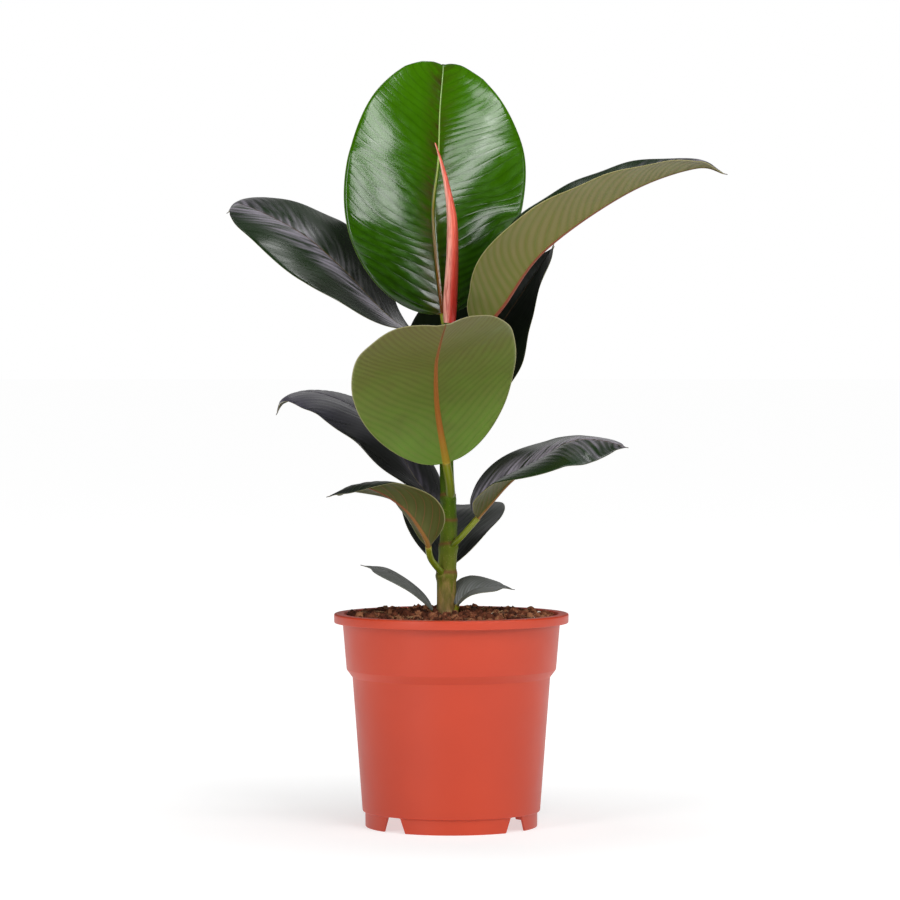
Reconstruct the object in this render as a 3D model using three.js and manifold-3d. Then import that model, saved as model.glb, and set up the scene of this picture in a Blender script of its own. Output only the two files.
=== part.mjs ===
// A young rubber plant, Ficus elastica, with eleven leaves, in a round moulded grow pot.
// Millimetres, +Z up. Everything is worked out about the pot's axis, with X to the right and
// Y away from the front. The finished group is moved so that the middle of its outer box
// stands over the origin, on the surface that the pot's feet stand on.
import * as THREE from 'three';
import { mergeVertices } from 'three/addons/utils/BufferGeometryUtils.js';
import Module from 'manifold-3d';

const wasm = await Module();
wasm.setup();

const { clamp, degToRad, lerp, smoothstep } = THREE.MathUtils;

// Air left between pieces that touch on the real plant.
const gap = 0.3;

// Pot: radii are outside ones, heights are above the surface that it stands on. A bevel
// stands for each rounded edge of the moulding.
const pot = {
  sides: 60,
  wall: 1.2,
  rimHeight: 127,
  rimRadius: 70,
  lipBottom: 121.5,
  bandTopRadius: 65.2,
  bandBottomRadius: 62.5,
  bandBottom: 94.5,
  bodyTopRadius: 59,
  bodyTop: 89,
  bodyBottomRadius: 53,
  floorUnderside: 9.2,
  floorThickness: 1.6,
  footRadius: 51.4,
  footWall: 1.6,
  baseBevel: 1.5,
  stepBevel: 0.7,
  rimBevel: 1,
};

// Openings moulded into the pot's base: slots through the foot ring, and drain holes.
const footSlots = { count: 4, firstAngle: 48.5, widthAtFloor: 10, widthAtGround: 18 };
const drainHoles = { count: 8, radius: 4, circleRadius: 37, centreRadius: 5, sides: 16 };

// Peat: its top is level with the rim round the trunk and dips towards the wall. Waves in
// several directions make its lumps, each with a wave number along X and Y and a phase.
const soil = {
  sides: 40,
  rings: 10,
  topAtTrunk: 126.2,
  topAtWall: 123.8,
  bandFilled: 0.9,
  bevel: 1,
  lump: 1.5,
  waves: [[0.21, 0.09, 1.3], [-0.13, 0.24, 0.4], [0.34, -0.29, 2.1], [0.08, -0.4, 4.2]],
};

// Trunk, from its end in the soil to its top: height, sideways lean and radius.
const trunkSides = 12;
const trunkRows = [
  [84, -2.9, 1.5],
  [90, -2.9, 4.2],
  [110, -2.9, 5.9],
  [122, -2.9, 6.3],
  [132, -2.9, 5.8],
  [150, -2.9, 5.7],
  [168, -1.7, 5.4],
  [188, -1.5, 4.6],
  [207, -2.6, 4.2],
  [217, -2.9, 4.1],
  [250, -2.2, 3.8],
  [280, -1.4, 3.6],
  [300, -1.1, 3.5],
];

// Swelling of the trunk where a leaf grows out of it: its middle lies `above` the leaf's
// node, and `allRound` is the part of it that reaches round to the far side.
const leafCushion = { above: 1, swell: 0.9, height: 2.6, allRound: 0.3, closestRings: 1.2 };

// Bud sheath, the rolled red stipule on the trunk's top: height, lean and radius.
const sheathSides = 12;
const sheathRows = [
  [300 + gap, -1.0, 3.3],
  [306, -0.9, 4.1],
  [314, -0.7, 4.2],
  [328, 0.1, 3.9],
  [340, 0.6, 3.5],
  [352, 0.7, 3.3],
  [362, 0.4, 3.0],
  [372, -0.9, 2.3],
  [380, -2.4, 1.8],
  [388, -4.0, 1.4],
  [398, -6.7, 0.8],
  [407, -9.6, 0.3],
];

// Leaves, numbered up the trunk. A leaf's midrib leaves the trunk's axis at the height
// `node` and runs through the points of `midrib`. `stalk` is the length of the bare leaf
// stalk and `stalkRadius` its radius. The blade is `halfWidth` wide each side at its
// widest, which moves towards the tip above a `widest` of 1, and its tip is round for a
// `point` of 0.5 and sharper above that. Its upper face looks along `faceBase` at the stalk
// and `faceTip` at the tip. Each half is tilted up from flat by `fold`, in degrees at the
// stalk and at the tip, and bends by `curl` degrees more between midrib and margin.
const leaves = [
  {
    name: 'leaf_01', node: 108, stalk: 24, stalkRadius: 1.1,
    halfWidth: 12, widest: 1, point: 0.5, fold: [13, 2], curl: -24,
    midrib: [
      [-10, -6, 122], [-11, -6, 128], [-16, -7, 136],
      [-26, -9, 145], [-40, -9, 153], [-54, -6, 156],
    ],
    faceBase: [0.9, -0.1, 0.4], faceTip: [-0.2, -0.2, 1],
  },
  {
    name: 'leaf_02', node: 120, stalk: 18, stalkRadius: 1.3,
    halfWidth: 16, widest: 1, point: 0.55, fold: [26, 6], curl: -11,
    midrib: [[2, -4, 121], [4, -6, 133], [13, -4, 141], [28, -1, 143], [38, -2, 141]],
    faceBase: [-0.9, -0.4, 0.2], faceTip: [0, -0.2, 1],
  },
  {
    name: 'leaf_03', node: 148, stalk: 33, stalkRadius: 1.9,
    halfWidth: 25, widest: 1.24, point: 0.6, fold: [68, 7], curl: -50,
    midrib: [
      [-12, -15, 160], [-15, -27, 172], [-27, -33, 190],
      [-43, -35, 201], [-56, -41, 204], [-73, -48, 198],
    ],
    faceBase: [0, 0.3, 0.95], faceTip: [0, 0.1, 1],
  },
  {
    name: 'leaf_04', node: 149, stalk: 16, stalkRadius: 1.8,
    halfWidth: 34, widest: 1, point: 0.5, fold: [32, 6], curl: 9,
    midrib: [[-4, 12, 150], [-1, 30, 163], [1, 51, 174], [2, 73, 185], [3, 99, 188]],
    faceBase: [-0.1, -0.7, 0.7], faceTip: [0.1, 0, 1],
  },
  {
    name: 'leaf_05', node: 165, stalk: 29, stalkRadius: 1.8,
    halfWidth: 31, widest: 0.95, point: 0.65, fold: [54, -25], curl: -27,
    midrib: [
      [5, -8, 172], [20, -9, 189], [35, -15, 206], [53, -27, 220],
      [70, -33, 230], [87, -40, 231], [103, -56, 227],
    ],
    faceBase: [-0.4, -0.2, 0.9], faceTip: [-0.2, -0.3, 0.9],
  },
  {
    name: 'leaf_06', node: 180, stalk: 14, stalkRadius: 1.9,
    halfWidth: 44, widest: 1, point: 0.55, fold: [15, 4], curl: -27,
    midrib: [
      [-9, 13, 191], [-21, 25, 205], [-36, 36, 228], [-57, 46, 247],
      [-76, 53, 256], [-92, 58, 258], [-103, 61, 253], [-107, 62, 244],
    ],
    faceBase: [0.7, -0.15, 0.73], faceTip: [-0.5, 0.06, 0.87],
  },
  {
    name: 'leaf_07', node: 194, stalk: 26, stalkRadius: 2.6,
    halfWidth: 50, widest: 1.1, point: 0.65, fold: [-9, 31], curl: -10,
    midrib: [[-1, -6, 204], [-8, -25, 246], [-9, -60, 272], [-7, -100, 285], [-3, -139, 299]],
    faceBase: [-0.3, 0.9, 0.4], faceTip: [-0.2, 0.3, 0.9],
  },
  {
    name: 'leaf_08', node: 226, stalk: 29, stalkRadius: 2,
    halfWidth: 50, widest: 1, point: 0.6, fold: [24, 17], curl: 15,
    midrib: [[2, 21, 234], [12, 41, 259], [25, 59, 290], [44, 78, 319], [64, 105, 348]],
    faceBase: [-0.1, -0.7, 0.7], faceTip: [-0.7, -0.3, 0.7],
  },
  {
    name: 'leaf_09', node: 284, stalk: 29, stalkRadius: 2,
    halfWidth: 46, widest: 1, point: 0.6, fold: [2, 9], curl: -15,
    midrib: [
      [-5, 5, 287], [-34, 16, 301], [-67, 30, 334],
      [-92, 38, 355], [-127, 55, 372], [-137, 60, 367],
    ],
    faceBase: [0.9, -0.3, -0.3], faceTip: [0.1, -0.4, 0.9],
  },
  {
    name: 'leaf_10', node: 279, stalk: 26, stalkRadius: 2.2,
    halfWidth: 41, widest: 0.95, point: 0.75, fold: [52, 28], curl: -13,
    midrib: [
      [8, 3, 285], [29, -3, 308], [55, -10, 343],
      [104, -9, 377], [145, -3, 392], [164, -4, 388],
    ],
    faceBase: [-0.6, 0, 0.8], faceTip: [0.1, -0.1, 1],
  },
  {
    name: 'leaf_11', node: 292, stalk: 15, stalkRadius: 1.8,
    halfWidth: 55, widest: 1.05, point: 0.55, fold: [-8, 24], curl: -18,
    midrib: [
      [-5, 5, 305], [-11, 19, 362], [-8, 33, 397],
      [-7, 51, 429], [-5, 66, 456], [-7, 73, 453],
    ],
    faceBase: [0.2, -1, 0.1], faceTip: [0.2, -0.8, 0.5],
  },
];

// What all leaves share. The stalk runs on as the midrib, down to `tipRadius` where the
// narrow tip of `tipLength` begins, which ends at `bluntTip` of that. At the trunk the
// stalk is thicker by `footFlare`. Beside the midrib, two points of each half lie `nearRib`
// at most and `acrossHalf` of the way out to the margin.
const leafForm = {
  halfThickness: 0.4,
  ribDepth: 0.9,
  nearRib: 0.3,
  acrossHalf: 0.55,
  openWidth: 3,
  roundBase: 0.5,
  tipLength: 7,
  tipRadius: 0.7,
  bluntTip: 0.5,
  footFlare: 0.3,
  pointsPerFace: 7,
  stationSpacing: 8.5,
  endStations: 4,
  stalkStations: 4,
};

const colours = {
  pot: '#d34f36',
  soil: '#45251c',
  trunk: '#5a5c25',
  sheath: '#d4604f',
  youngLeaf: '#396902',
  leaf: '#2f3b2a',
};

function finish(colour, roughness) {
  return new THREE.MeshStandardMaterial({ color: colour, roughness, metalness: 0 });
}

// The closed solid of a geometry whose shared corners are merged.
function solidOf(geometry) {
  const bare = geometry.clone();
  bare.deleteAttribute('normal');
  bare.deleteAttribute('uv');
  const merged = mergeVertices(bare);
  const mesh = new wasm.Mesh({
    numProp: 3,
    vertProperties: merged.attributes.position.array,
    triVerts: Uint32Array.from(merged.index.array),
  });
  return new wasm.Manifold(mesh);
}

function geometryOf(solid) {
  const mesh = solid.getMesh();
  const geometry = new THREE.BufferGeometry();
  geometry.setAttribute('position', new THREE.BufferAttribute(mesh.vertProperties, 3));
  geometry.setIndex(new THREE.BufferAttribute(mesh.triVerts, 1));
  geometry.computeVertexNormals();
  return geometry;
}

function middleOf(ring) {
  const sum = ring.reduce((total, point) => total.add(point), new THREE.Vector3());
  return sum.divideScalar(ring.length);
}

// A closed skin over rings of equally many points, each ring counter-clockwise seen from
// ahead. Both ends are closed by a fan to the ring's middle. `mirrored` holds the numbers
// of the quads that are split along their other diagonal.
function loft(rings, mirrored = new Set()) {
  const count = rings[0].length;
  const positions = rings.flat().flatMap((point) => point.toArray());
  const index = [];
  for (let ring = 0; ring + 1 < rings.length; ring += 1) {
    for (let side = 0; side < count; side += 1) {
      const next = (side + 1) % count;
      const a = ring * count + side;
      const b = ring * count + next;
      const c = (ring + 1) * count + next;
      const d = (ring + 1) * count + side;
      index.push(...(mirrored.has(side) ? [a, b, d, b, c, d] : [a, b, c, a, c, d]));
    }
  }
  const middles = [rings[0], rings.at(-1)].map(middleOf);
  positions.push(...middles.flatMap((point) => point.toArray()));
  const firstMiddle = rings.length * count;
  const last = (rings.length - 1) * count;
  for (let side = 0; side < count; side += 1) {
    const next = (side + 1) % count;
    index.push(firstMiddle, next, side);
    index.push(firstMiddle + 1, last + side, last + next);
  }
  const geometry = new THREE.BufferGeometry();
  geometry.setAttribute('position', new THREE.Float32BufferAttribute(positions, 3));
  geometry.setIndex(index);
  return geometry;
}

function anglesRound(sides) {
  return Array.from({ length: sides }, (_, side) => (2 * Math.PI * side) / sides);
}

// A level ring round (x, 0), whose radius may depend on the direction.
function levelRing(sides, x, height, radiusAt) {
  return anglesRound(sides).map((angle) => {
    const radius = radiusAt(angle);
    return new THREE.Vector3(x + radius * Math.cos(angle), radius * Math.sin(angle), height);
  });
}

// Lean and radius of the trunk at a height, on straight lines between its rows.
function trunkAt(height) {
  const upper = Math.max(1, trunkRows.findIndex((row) => row[0] >= height));
  const [top, topLean, topRadius] = trunkRows[upper];
  const [bottom, bottomLean, bottomRadius] = trunkRows[upper - 1];
  const part = (height - bottom) / (top - bottom);
  return { lean: lerp(bottomLean, topLean, part), radius: lerp(bottomRadius, topRadius, part) };
}

// The pot's outline, up the outside and down the inside to the floor's centre hole.
function potOutline() {
  const { wall, baseBevel, stepBevel, rimBevel } = pot;
  const floorTop = pot.floorUnderside + pot.floorThickness;
  const footInside = pot.footRadius - pot.footWall;
  const insideBottom = pot.bodyBottomRadius - wall;
  const insideBand = pot.bandBottomRadius - wall;
  const lipBevel = rimBevel / 5;
  const outline = [
    [drainHoles.centreRadius, pot.floorUnderside],
    [footInside, pot.floorUnderside],
    [footInside, 0],
    [pot.footRadius, 0],
    [pot.footRadius, pot.floorUnderside],
    [pot.bodyBottomRadius - baseBevel / 3, pot.floorUnderside],
    [pot.bodyBottomRadius, pot.floorUnderside + baseBevel],
    [pot.bodyTopRadius, pot.bodyTop],
    [pot.bodyTopRadius + stepBevel, pot.bodyTop + stepBevel],
    [pot.bandBottomRadius - stepBevel, pot.bandBottom - stepBevel],
    [pot.bandBottomRadius, pot.bandBottom + stepBevel],
    [pot.bandTopRadius, pot.rimHeight - wall],
    [pot.rimRadius - wall, pot.rimHeight - wall],
    [pot.rimRadius - wall, pot.lipBottom],
    [pot.rimRadius - lipBevel, pot.lipBottom],
    [pot.rimRadius, pot.lipBottom + rimBevel],
    [pot.rimRadius - lipBevel, pot.rimHeight - rimBevel],
    [pot.rimRadius - rimBevel, pot.rimHeight],
    [pot.bandTopRadius - wall + rimBevel, pot.rimHeight],
    [pot.bandTopRadius - wall, pot.rimHeight - rimBevel],
    [insideBand, pot.bandBottom + stepBevel],
    [insideBand - stepBevel, pot.bandBottom - stepBevel],
    [pot.bodyTopRadius - wall, pot.bodyTop],
    [insideBottom, floorTop + rimBevel],
    [insideBottom - rimBevel, floorTop],
    [drainHoles.centreRadius, floorTop],
  ];
  return [...outline, outline[0]].map(([radius, height]) => new THREE.Vector2(radius, height));
}

// A flat outline cut straight through along its normal, from `start` on.
function prism(points, start, length) {
  const shape = new THREE.Shape(points.map(([x, y]) => new THREE.Vector2(x, y)));
  const settings = { depth: length, bevelEnabled: false };
  return new THREE.ExtrudeGeometry(shape, settings).translate(0, 0, start);
}

// A slot through the foot ring, wider at the ground, cut outwards along the angle.
function footSlot(angle) {
  const halfTop = footSlots.widthAtFloor / 2;
  const halfBottom = footSlots.widthAtGround / 2;
  const top = pot.floorUnderside;
  const belowGround = -1;
  const outline = [
    [-halfBottom, belowGround],
    [halfBottom, belowGround],
    [halfTop, top],
    [-halfTop, top],
  ];
  const cutter = prism(outline, pot.footRadius - 3 * pot.footWall, 5 * pot.footWall);
  return cutter.rotateX(Math.PI / 2).rotateZ(Math.PI + angle);
}

function drainHole(angle) {
  const { radius, circleRadius, sides } = drainHoles;
  const hole = new THREE.CylinderGeometry(radius, radius, 4 * pot.floorThickness, sides);
  const x = circleRadius * Math.cos(angle);
  const y = circleRadius * Math.sin(angle);
  return hole.rotateX(Math.PI / 2).translate(x, y, pot.floorUnderside);
}

function potGeometry() {
  const wall = new THREE.LatheGeometry(potOutline(), pot.sides).rotateX(Math.PI / 2);
  const slots = anglesRound(footSlots.count).map((angle) => {
    return footSlot(angle + degToRad(footSlots.firstAngle));
  });
  const holes = anglesRound(drainHoles.count).map(drainHole);
  const cut = [...slots, ...holes].reduce((rest, cutter) => {
    return rest.subtract(solidOf(cutter));
  }, solidOf(wall));
  return geometryOf(cut);
}

// How far the trunk swells at a height and direction, towards the leaves that it carries.
function swellingAt(height, angle) {
  const { above, swell, allRound } = leafCushion;
  let swelling = 0;
  for (const leaf of leaves) {
    const rise = (height - leaf.node - above) / leafCushion.height;
    const [x, y] = leaf.midrib[0];
    const direction = Math.atan2(y, x - trunkAt(leaf.node).lean);
    const towards = Math.max(0, Math.cos(angle - direction));
    swelling += swell * Math.exp(-rise * rise) * lerp(allRound, 1, towards * towards);
  }
  return swelling;
}

// Heights of the trunk's rings: its rows, and three more over each leaf cushion.
function trunkHeights() {
  const { above, closestRings } = leafCushion;
  const reach = leafCushion.height + above;
  const rows = trunkRows.map((row) => row[0]);
  const cushions = leaves.flatMap(({ node }) => {
    return [node + above - reach, node + above, node + above + reach];
  });
  const heights = [...rows, ...cushions].sort((a, b) => a - b);
  const top = trunkRows.at(-1)[0];
  const kept = heights.filter((height, place) => {
    return place === 0 || height - heights[place - 1] > closestRings;
  });
  return [...kept.filter((height) => height < top - closestRings), top];
}

// The trunk, or with `grow` the room that the pieces round it leave free.
function trunkSolid(grow = 0) {
  const rings = trunkHeights().map((height) => {
    const { lean, radius } = trunkAt(height);
    const radiusAt = (angle) => radius + swellingAt(height, angle) + grow;
    return levelRing(trunkSides, lean, height, radiusAt);
  });
  rings[0].forEach((point) => point.setZ(point.z - grow));
  rings.at(-1).forEach((point) => point.setZ(point.z + grow));
  return solidOf(loft(rings));
}

function sheathSolid(grow = 0) {
  const rings = sheathRows.map(([height, lean, radius]) => {
    return levelRing(sheathSides, lean, height, () => radius + grow);
  });
  return solidOf(loft(rings));
}

function midribCurve(leaf) {
  const foot = new THREE.Vector3(trunkAt(leaf.node).lean, 0, leaf.node);
  const points = [foot, ...leaf.midrib.map((point) => new THREE.Vector3(...point))];
  return new THREE.CatmullRomCurve3(points, false, 'catmullrom', 0.5);
}

// The blade's length along its midrib, between the bare stalk and the narrow tip.
function bladeLength(leaf, length) {
  return length - leaf.stalk - leafForm.tipLength;
}

// Distances along the midrib at which the leaf has a section: closer together where the
// blade's outline turns, at its base and towards its tip.
function stationsOf(leaf, length) {
  const { stationSpacing, endStations, stalkStations, tipLength } = leafForm;
  const blade = bladeLength(leaf, length);
  const count = Math.round(blade / stationSpacing) + endStations;
  const onStalk = Array.from({ length: stalkStations }, (_, station) => {
    return (leaf.stalk * station) / stalkStations;
  });
  const onBlade = Array.from({ length: count + 1 }, (_, station) => {
    return leaf.stalk + (blade * (1 - Math.cos((Math.PI * station) / count))) / 2;
  });
  return [...onStalk, ...onBlade, length - tipLength / 2, length];
}

// The blade's half width from its base, at 0, to its tip, at 1, as a part of the greatest.
function outlineAt(along, point) {
  const { roundBase } = leafForm;
  const peak = roundBase / (roundBase + point);
  return (along / peak) ** roundBase * ((1 - along) / (1 - peak)) ** point;
}

// The round core's radius: the leaf stalk, then the midrib, then the narrow tip.
function coreRadius(leaf, distance, length) {
  const { tipRadius, tipLength, bluntTip, footFlare } = leafForm;
  const alongRib = clamp((distance - leaf.stalk) / bladeLength(leaf, length), 0, 1);
  const core = lerp(leaf.stalkRadius, tipRadius, Math.sqrt(alongRib));
  const foot = 1 + footFlare * Math.exp(-distance / leaf.stalkRadius / 2);
  const tip = clamp((length - distance) / tipLength, 0, 1);
  return core * foot * lerp(bluntTip, 1, tip);
}

// The place of a section, with the directions across the leaf and up from its upper face.
function sectionFrame(leaf, curve, part, along) {
  const centre = curve.getPointAt(part);
  const ahead = curve.getTangentAt(part);
  const up = new THREE.Vector3(...leaf.faceBase).normalize();
  up.lerp(new THREE.Vector3(...leaf.faceTip).normalize(), along);
  up.addScaledVector(ahead, -up.dot(ahead)).normalize();
  return { centre, up, across: new THREE.Vector3().crossVectors(ahead, up) };
}

// One leaf section: its points over the upper face, then back over the lower one. It is
// round on the stalk and opens into a thin folded blade with a midrib below.
function leafSection(leaf, curve, distance, length) {
  const { halfThickness, ribDepth, nearRib, acrossHalf, openWidth, pointsPerFace } = leafForm;
  const along = clamp((distance - leaf.stalk) / bladeLength(leaf, length), 0, 1);
  const width = leaf.halfWidth * outlineAt(along ** leaf.widest, leaf.point);
  const core = coreRadius(leaf, distance, length);
  const opened = smoothstep(width, 0, openWidth * core);
  const fold = degToRad(lerp(leaf.fold[0], leaf.fold[1], along));
  const curl = degToRad(leaf.curl);
  const { centre, up, across } = sectionFrame(leaf, curve, distance / length, along);
  const reaches = [0, Math.min(core / Math.max(width, core), nearRib), acrossHalf, 1];

  const place = (step, face) => {
    const turn = (step * Math.PI) / pointsPerFace;
    const side = Math.sign(step);
    const reach = reaches[Math.abs(step)];
    const ridge = step === 0 && face < 0 ? ribDepth * core : 0;
    const height = face * (halfThickness + ridge);
    const rise = fold + (curl * reach) / 2;
    const slope = fold + curl * reach;
    const flatAcross = side * (reach * width * Math.cos(rise) - height * Math.sin(slope));
    const flatUp = reach * width * Math.sin(rise) + height * (step === 0 ? 1 : Math.cos(slope));
    const sideways = lerp(core * Math.sin(turn), flatAcross, opened);
    const upwards = lerp(face * core * Math.cos(turn), flatUp, opened);
    return centre.clone().addScaledVector(across, sideways).addScaledVector(up, upwards);
  };
  const half = (pointsPerFace - 1) / 2;
  const steps = Array.from({ length: pointsPerFace }, (_, point) => point - half);
  const upperFace = steps.map((step) => place(step, 1));
  const lowerFace = steps.toReversed().map((step) => place(step, -1));
  return [...upperFace, ...lowerFace];
}

// A leaf, cut clear of the trunk and of the bud sheath at its foot.
function leafGeometry(leaf, room) {
  const { pointsPerFace } = leafForm;
  const curve = midribCurve(leaf);
  const length = curve.getLength();
  const sections = stationsOf(leaf, length).map((distance) => {
    return leafSection(leaf, curve, distance, length);
  });
  const lowerFaceQuads = Array.from({ length: pointsPerFace - 1 }, (_, quad) => {
    return pointsPerFace + quad;
  });
  const whole = solidOf(loft(sections, new Set(lowerFaceQuads)));
  return geometryOf(whole.subtract(room));
}

// Height of the peat's lumpy surface.
function soilTop(x, y) {
  const out = clamp(Math.hypot(x, y) / pot.bandTopRadius, 0, 1);
  const waves = soil.waves.map(([a, b, phase]) => Math.sin(a * x + b * y + phase));
  const lumps = (soil.lump * waves.reduce((sum, wave) => sum + wave)) / waves.length;
  return lerp(soil.topAtTrunk, soil.topAtWall, out * out) + lumps;
}

// Room for a leaf stalk that comes up through the soil.
function stalkRoom(leaf) {
  const sides = 10;
  const steps = 8;
  const curve = midribCurve(leaf);
  const length = curve.getLength();
  const rings = Array.from({ length: steps + 1 }, (_, step) => {
    const distance = (leaf.stalk * step) / steps;
    const centre = curve.getPointAt(distance / length);
    const ahead = curve.getTangentAt(distance / length);
    const across = new THREE.Vector3(0, 1, 0).cross(ahead).normalize();
    const over = new THREE.Vector3().crossVectors(ahead, across);
    const radius = coreRadius(leaf, distance, length) + 2 * gap;
    return anglesRound(sides).map((angle) => centre.clone()
      .addScaledVector(across, radius * Math.cos(angle))
      .addScaledVector(over, radius * Math.sin(angle)));
  });
  return solidOf(loft(rings));
}

// The peat fills the pot up to its band, with plain holes for the trunk and low stalks.
function soilGeometry(room) {
  const inner = (radius) => radius - pot.wall - gap;
  const bottom = pot.floorUnderside + pot.floorThickness + gap;
  const sides = [
    [inner(pot.bodyBottomRadius) - soil.bevel, bottom],
    [inner(pot.bodyBottomRadius), bottom + soil.bevel],
    [inner(pot.bodyTopRadius), pot.bodyTop],
    [inner(pot.bandBottomRadius) - pot.stepBevel, pot.bandBottom - pot.stepBevel],
    [inner(pot.bandBottomRadius), pot.bandBottom + pot.stepBevel],
  ];
  const rings = sides.map(([radius, height]) => {
    return levelRing(soil.sides, 0, height, () => radius);
  });
  const topRadius = inner(lerp(pot.bandBottomRadius, pot.bandTopRadius, soil.bandFilled));
  for (let left = soil.rings; left > 0; left -= 1) {
    const ring = levelRing(soil.sides, 0, 0, () => (topRadius * left) / soil.rings);
    ring.forEach((point) => point.setZ(soilTop(point.x, point.y)));
    rings.push(ring);
  }
  const lowLeaves = leaves.filter(({ node }) => node < soil.topAtTrunk);
  const cut = [room, ...lowLeaves.map(stalkRoom)].reduce((rest, cutter) => {
    return rest.subtract(cutter);
  }, solidOf(loft(rings)));
  return geometryOf(cut);
}

function addPiece(group, name, geometry, material) {
  const mesh = new THREE.Mesh(geometry, material);
  mesh.name = name;
  group.add(mesh);
}

function rubberPlant() {
  const plant = new THREE.Group();
  const room = trunkSolid(gap).add(sheathSolid(gap));
  addPiece(plant, 'pot', potGeometry(), finish(colours.pot, 0.45));
  addPiece(plant, 'potting_soil', soilGeometry(room), finish(colours.soil, 0.95));
  addPiece(plant, 'stem', geometryOf(trunkSolid()), finish(colours.trunk, 0.6));
  addPiece(plant, 'bud_sheath', geometryOf(sheathSolid()), finish(colours.sheath, 0.4));
  for (const leaf of leaves) {
    const colour = leaf === leaves.at(-1) ? colours.youngLeaf : colours.leaf;
    addPiece(plant, leaf.name, leafGeometry(leaf, room), finish(colour, 0.3));
  }
  const box = new THREE.Box3().setFromObject(plant);
  const middle = box.getCenter(new THREE.Vector3());
  plant.position.set(-middle.x, -middle.y, -box.min.z);
  return plant;
}

export default rubberPlant();
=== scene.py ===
import math

import bmesh
import bpy
import numpy as np
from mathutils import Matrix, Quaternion, Vector, noise


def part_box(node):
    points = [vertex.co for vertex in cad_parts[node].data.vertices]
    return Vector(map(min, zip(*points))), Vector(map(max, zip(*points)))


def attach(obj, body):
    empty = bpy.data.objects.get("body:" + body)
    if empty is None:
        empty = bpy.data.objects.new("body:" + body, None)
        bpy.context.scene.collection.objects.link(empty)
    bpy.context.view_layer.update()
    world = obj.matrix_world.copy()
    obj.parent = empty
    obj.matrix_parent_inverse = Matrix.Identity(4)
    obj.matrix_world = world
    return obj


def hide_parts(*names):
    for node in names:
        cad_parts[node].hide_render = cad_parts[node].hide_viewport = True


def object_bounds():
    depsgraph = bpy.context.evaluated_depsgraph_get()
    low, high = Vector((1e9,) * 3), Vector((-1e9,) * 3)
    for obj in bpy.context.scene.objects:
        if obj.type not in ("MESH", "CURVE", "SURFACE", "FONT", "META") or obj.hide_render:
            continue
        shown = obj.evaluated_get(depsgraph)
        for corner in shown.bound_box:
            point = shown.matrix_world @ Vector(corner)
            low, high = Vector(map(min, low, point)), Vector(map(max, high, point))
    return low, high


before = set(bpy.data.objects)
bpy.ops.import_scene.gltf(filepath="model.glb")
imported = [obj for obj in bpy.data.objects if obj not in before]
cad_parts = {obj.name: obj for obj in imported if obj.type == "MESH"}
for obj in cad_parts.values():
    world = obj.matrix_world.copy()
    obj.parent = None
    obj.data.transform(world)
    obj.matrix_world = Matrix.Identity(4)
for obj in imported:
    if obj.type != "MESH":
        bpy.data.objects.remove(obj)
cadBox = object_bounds()

shake = np.random.default_rng(11)
noise.seed_set(11)

potLow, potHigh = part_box("pot")
potAxis = np.array([(potLow.x + potHigh.x) / 2, (potLow.y + potHigh.y) / 2, 0.0])
mm = 0.001  # noise scales are written as repeats per mm
outerBox = [np.array(corner) for corner in cadBox]


def toFrame(points):
    return np.asarray(points, float) * mm + potAxis


def linear(colour, alpha=1.0):
    parts = [int(colour[place:place + 2], 16) / 255 for place in (1, 3, 5)]
    curve = [p / 12.92 if p <= 0.04045 else ((p + 0.055) / 1.055) ** 2.4 for p in parts]
    return (*curve, alpha)


def smoothStep(value, low, high):
    part = np.clip((value - low) / (high - low), 0, 1)
    return part * part * (3 - 2 * part)


def mix(a, b, part):
    return a + (b - a) * part


# Adds a node: settings go to its properties or inputs, links to its inputs. A link comes
# from a socket, or from a node, which stands for its first output in use.
def addNode(tree, kind, settings={}, links={}):
    node = tree.nodes.new("ShaderNode" + kind)
    for key, value in settings.items():
        if key == "stops":
            elements = node.color_ramp.elements
            while len(elements) < len(value):
                elements.new(0.5)
            for element, (position, colour) in zip(elements, value):
                element.position = position
                element.color = linear(colour)
        elif key == "range":
            for end, number in zip(("From Min", "From Max", "To Min", "To Max"), value):
                node.inputs[end].default_value = number
        elif isinstance(key, str) and hasattr(node, key):
            setattr(node, key, value)
        else:
            node.inputs[key].default_value = linear(value) if isinstance(value, str) else value
    for key, source in links.items():
        if isinstance(source, bpy.types.Node):
            source = next(socket for socket in source.outputs if socket.enabled)
        tree.links.new(source, node.inputs[key])
    return node


def newMaterial(name):
    material = bpy.data.materials.new(name)
    material.use_nodes = True
    material.node_tree.nodes.clear()
    return material, material.node_tree


# The end of a material: fine relief from a height, the surface itself and the output.
def addSurface(tree, height, relief, settings, links):
    bump = addNode(tree, "Bump", relief, {"Height": height})
    shader = addNode(tree, "BsdfPrincipled", settings, {**links, "Normal": bump})
    addNode(tree, "OutputMaterial", {}, {"Surface": shader})


def addObject(name, data):
    thing = bpy.data.objects.new(name, data)
    bpy.context.scene.collection.objects.link(thing)
    return thing


# A mesh piece on the plant's one body. Points are in millimetres about the pot's axis and
# stay inside the plant's outer box.
def newPiece(name, points, faces, materials, replaced=(), faceSlots=None, values={}):
    mesh = bpy.data.meshes.new(name)
    placed = np.clip(toFrame(points), *outerBox)
    mesh.from_pydata(placed.tolist(), [], [list(map(int, f)) for f in faces])
    mesh.polygons.foreach_set("use_smooth", [True] * len(mesh.polygons))
    for material in materials:
        mesh.materials.append(material)
    if faceSlots is not None:
        mesh.polygons.foreach_set("material_index", np.asarray(faceSlots, np.int32))
    for key, numbers in values.items():
        layer = mesh.attributes.new(key, "FLOAT", "POINT")
        layer.data.foreach_set("value", np.asarray(numbers, np.float32).ravel())
    mesh.update()
    piece = addObject(name, mesh)
    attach(piece, "root")
    if replaced:
        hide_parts(*replaced)
    return piece


def roundAngles(count):
    return np.arange(count) * 2 * math.pi / count


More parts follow.
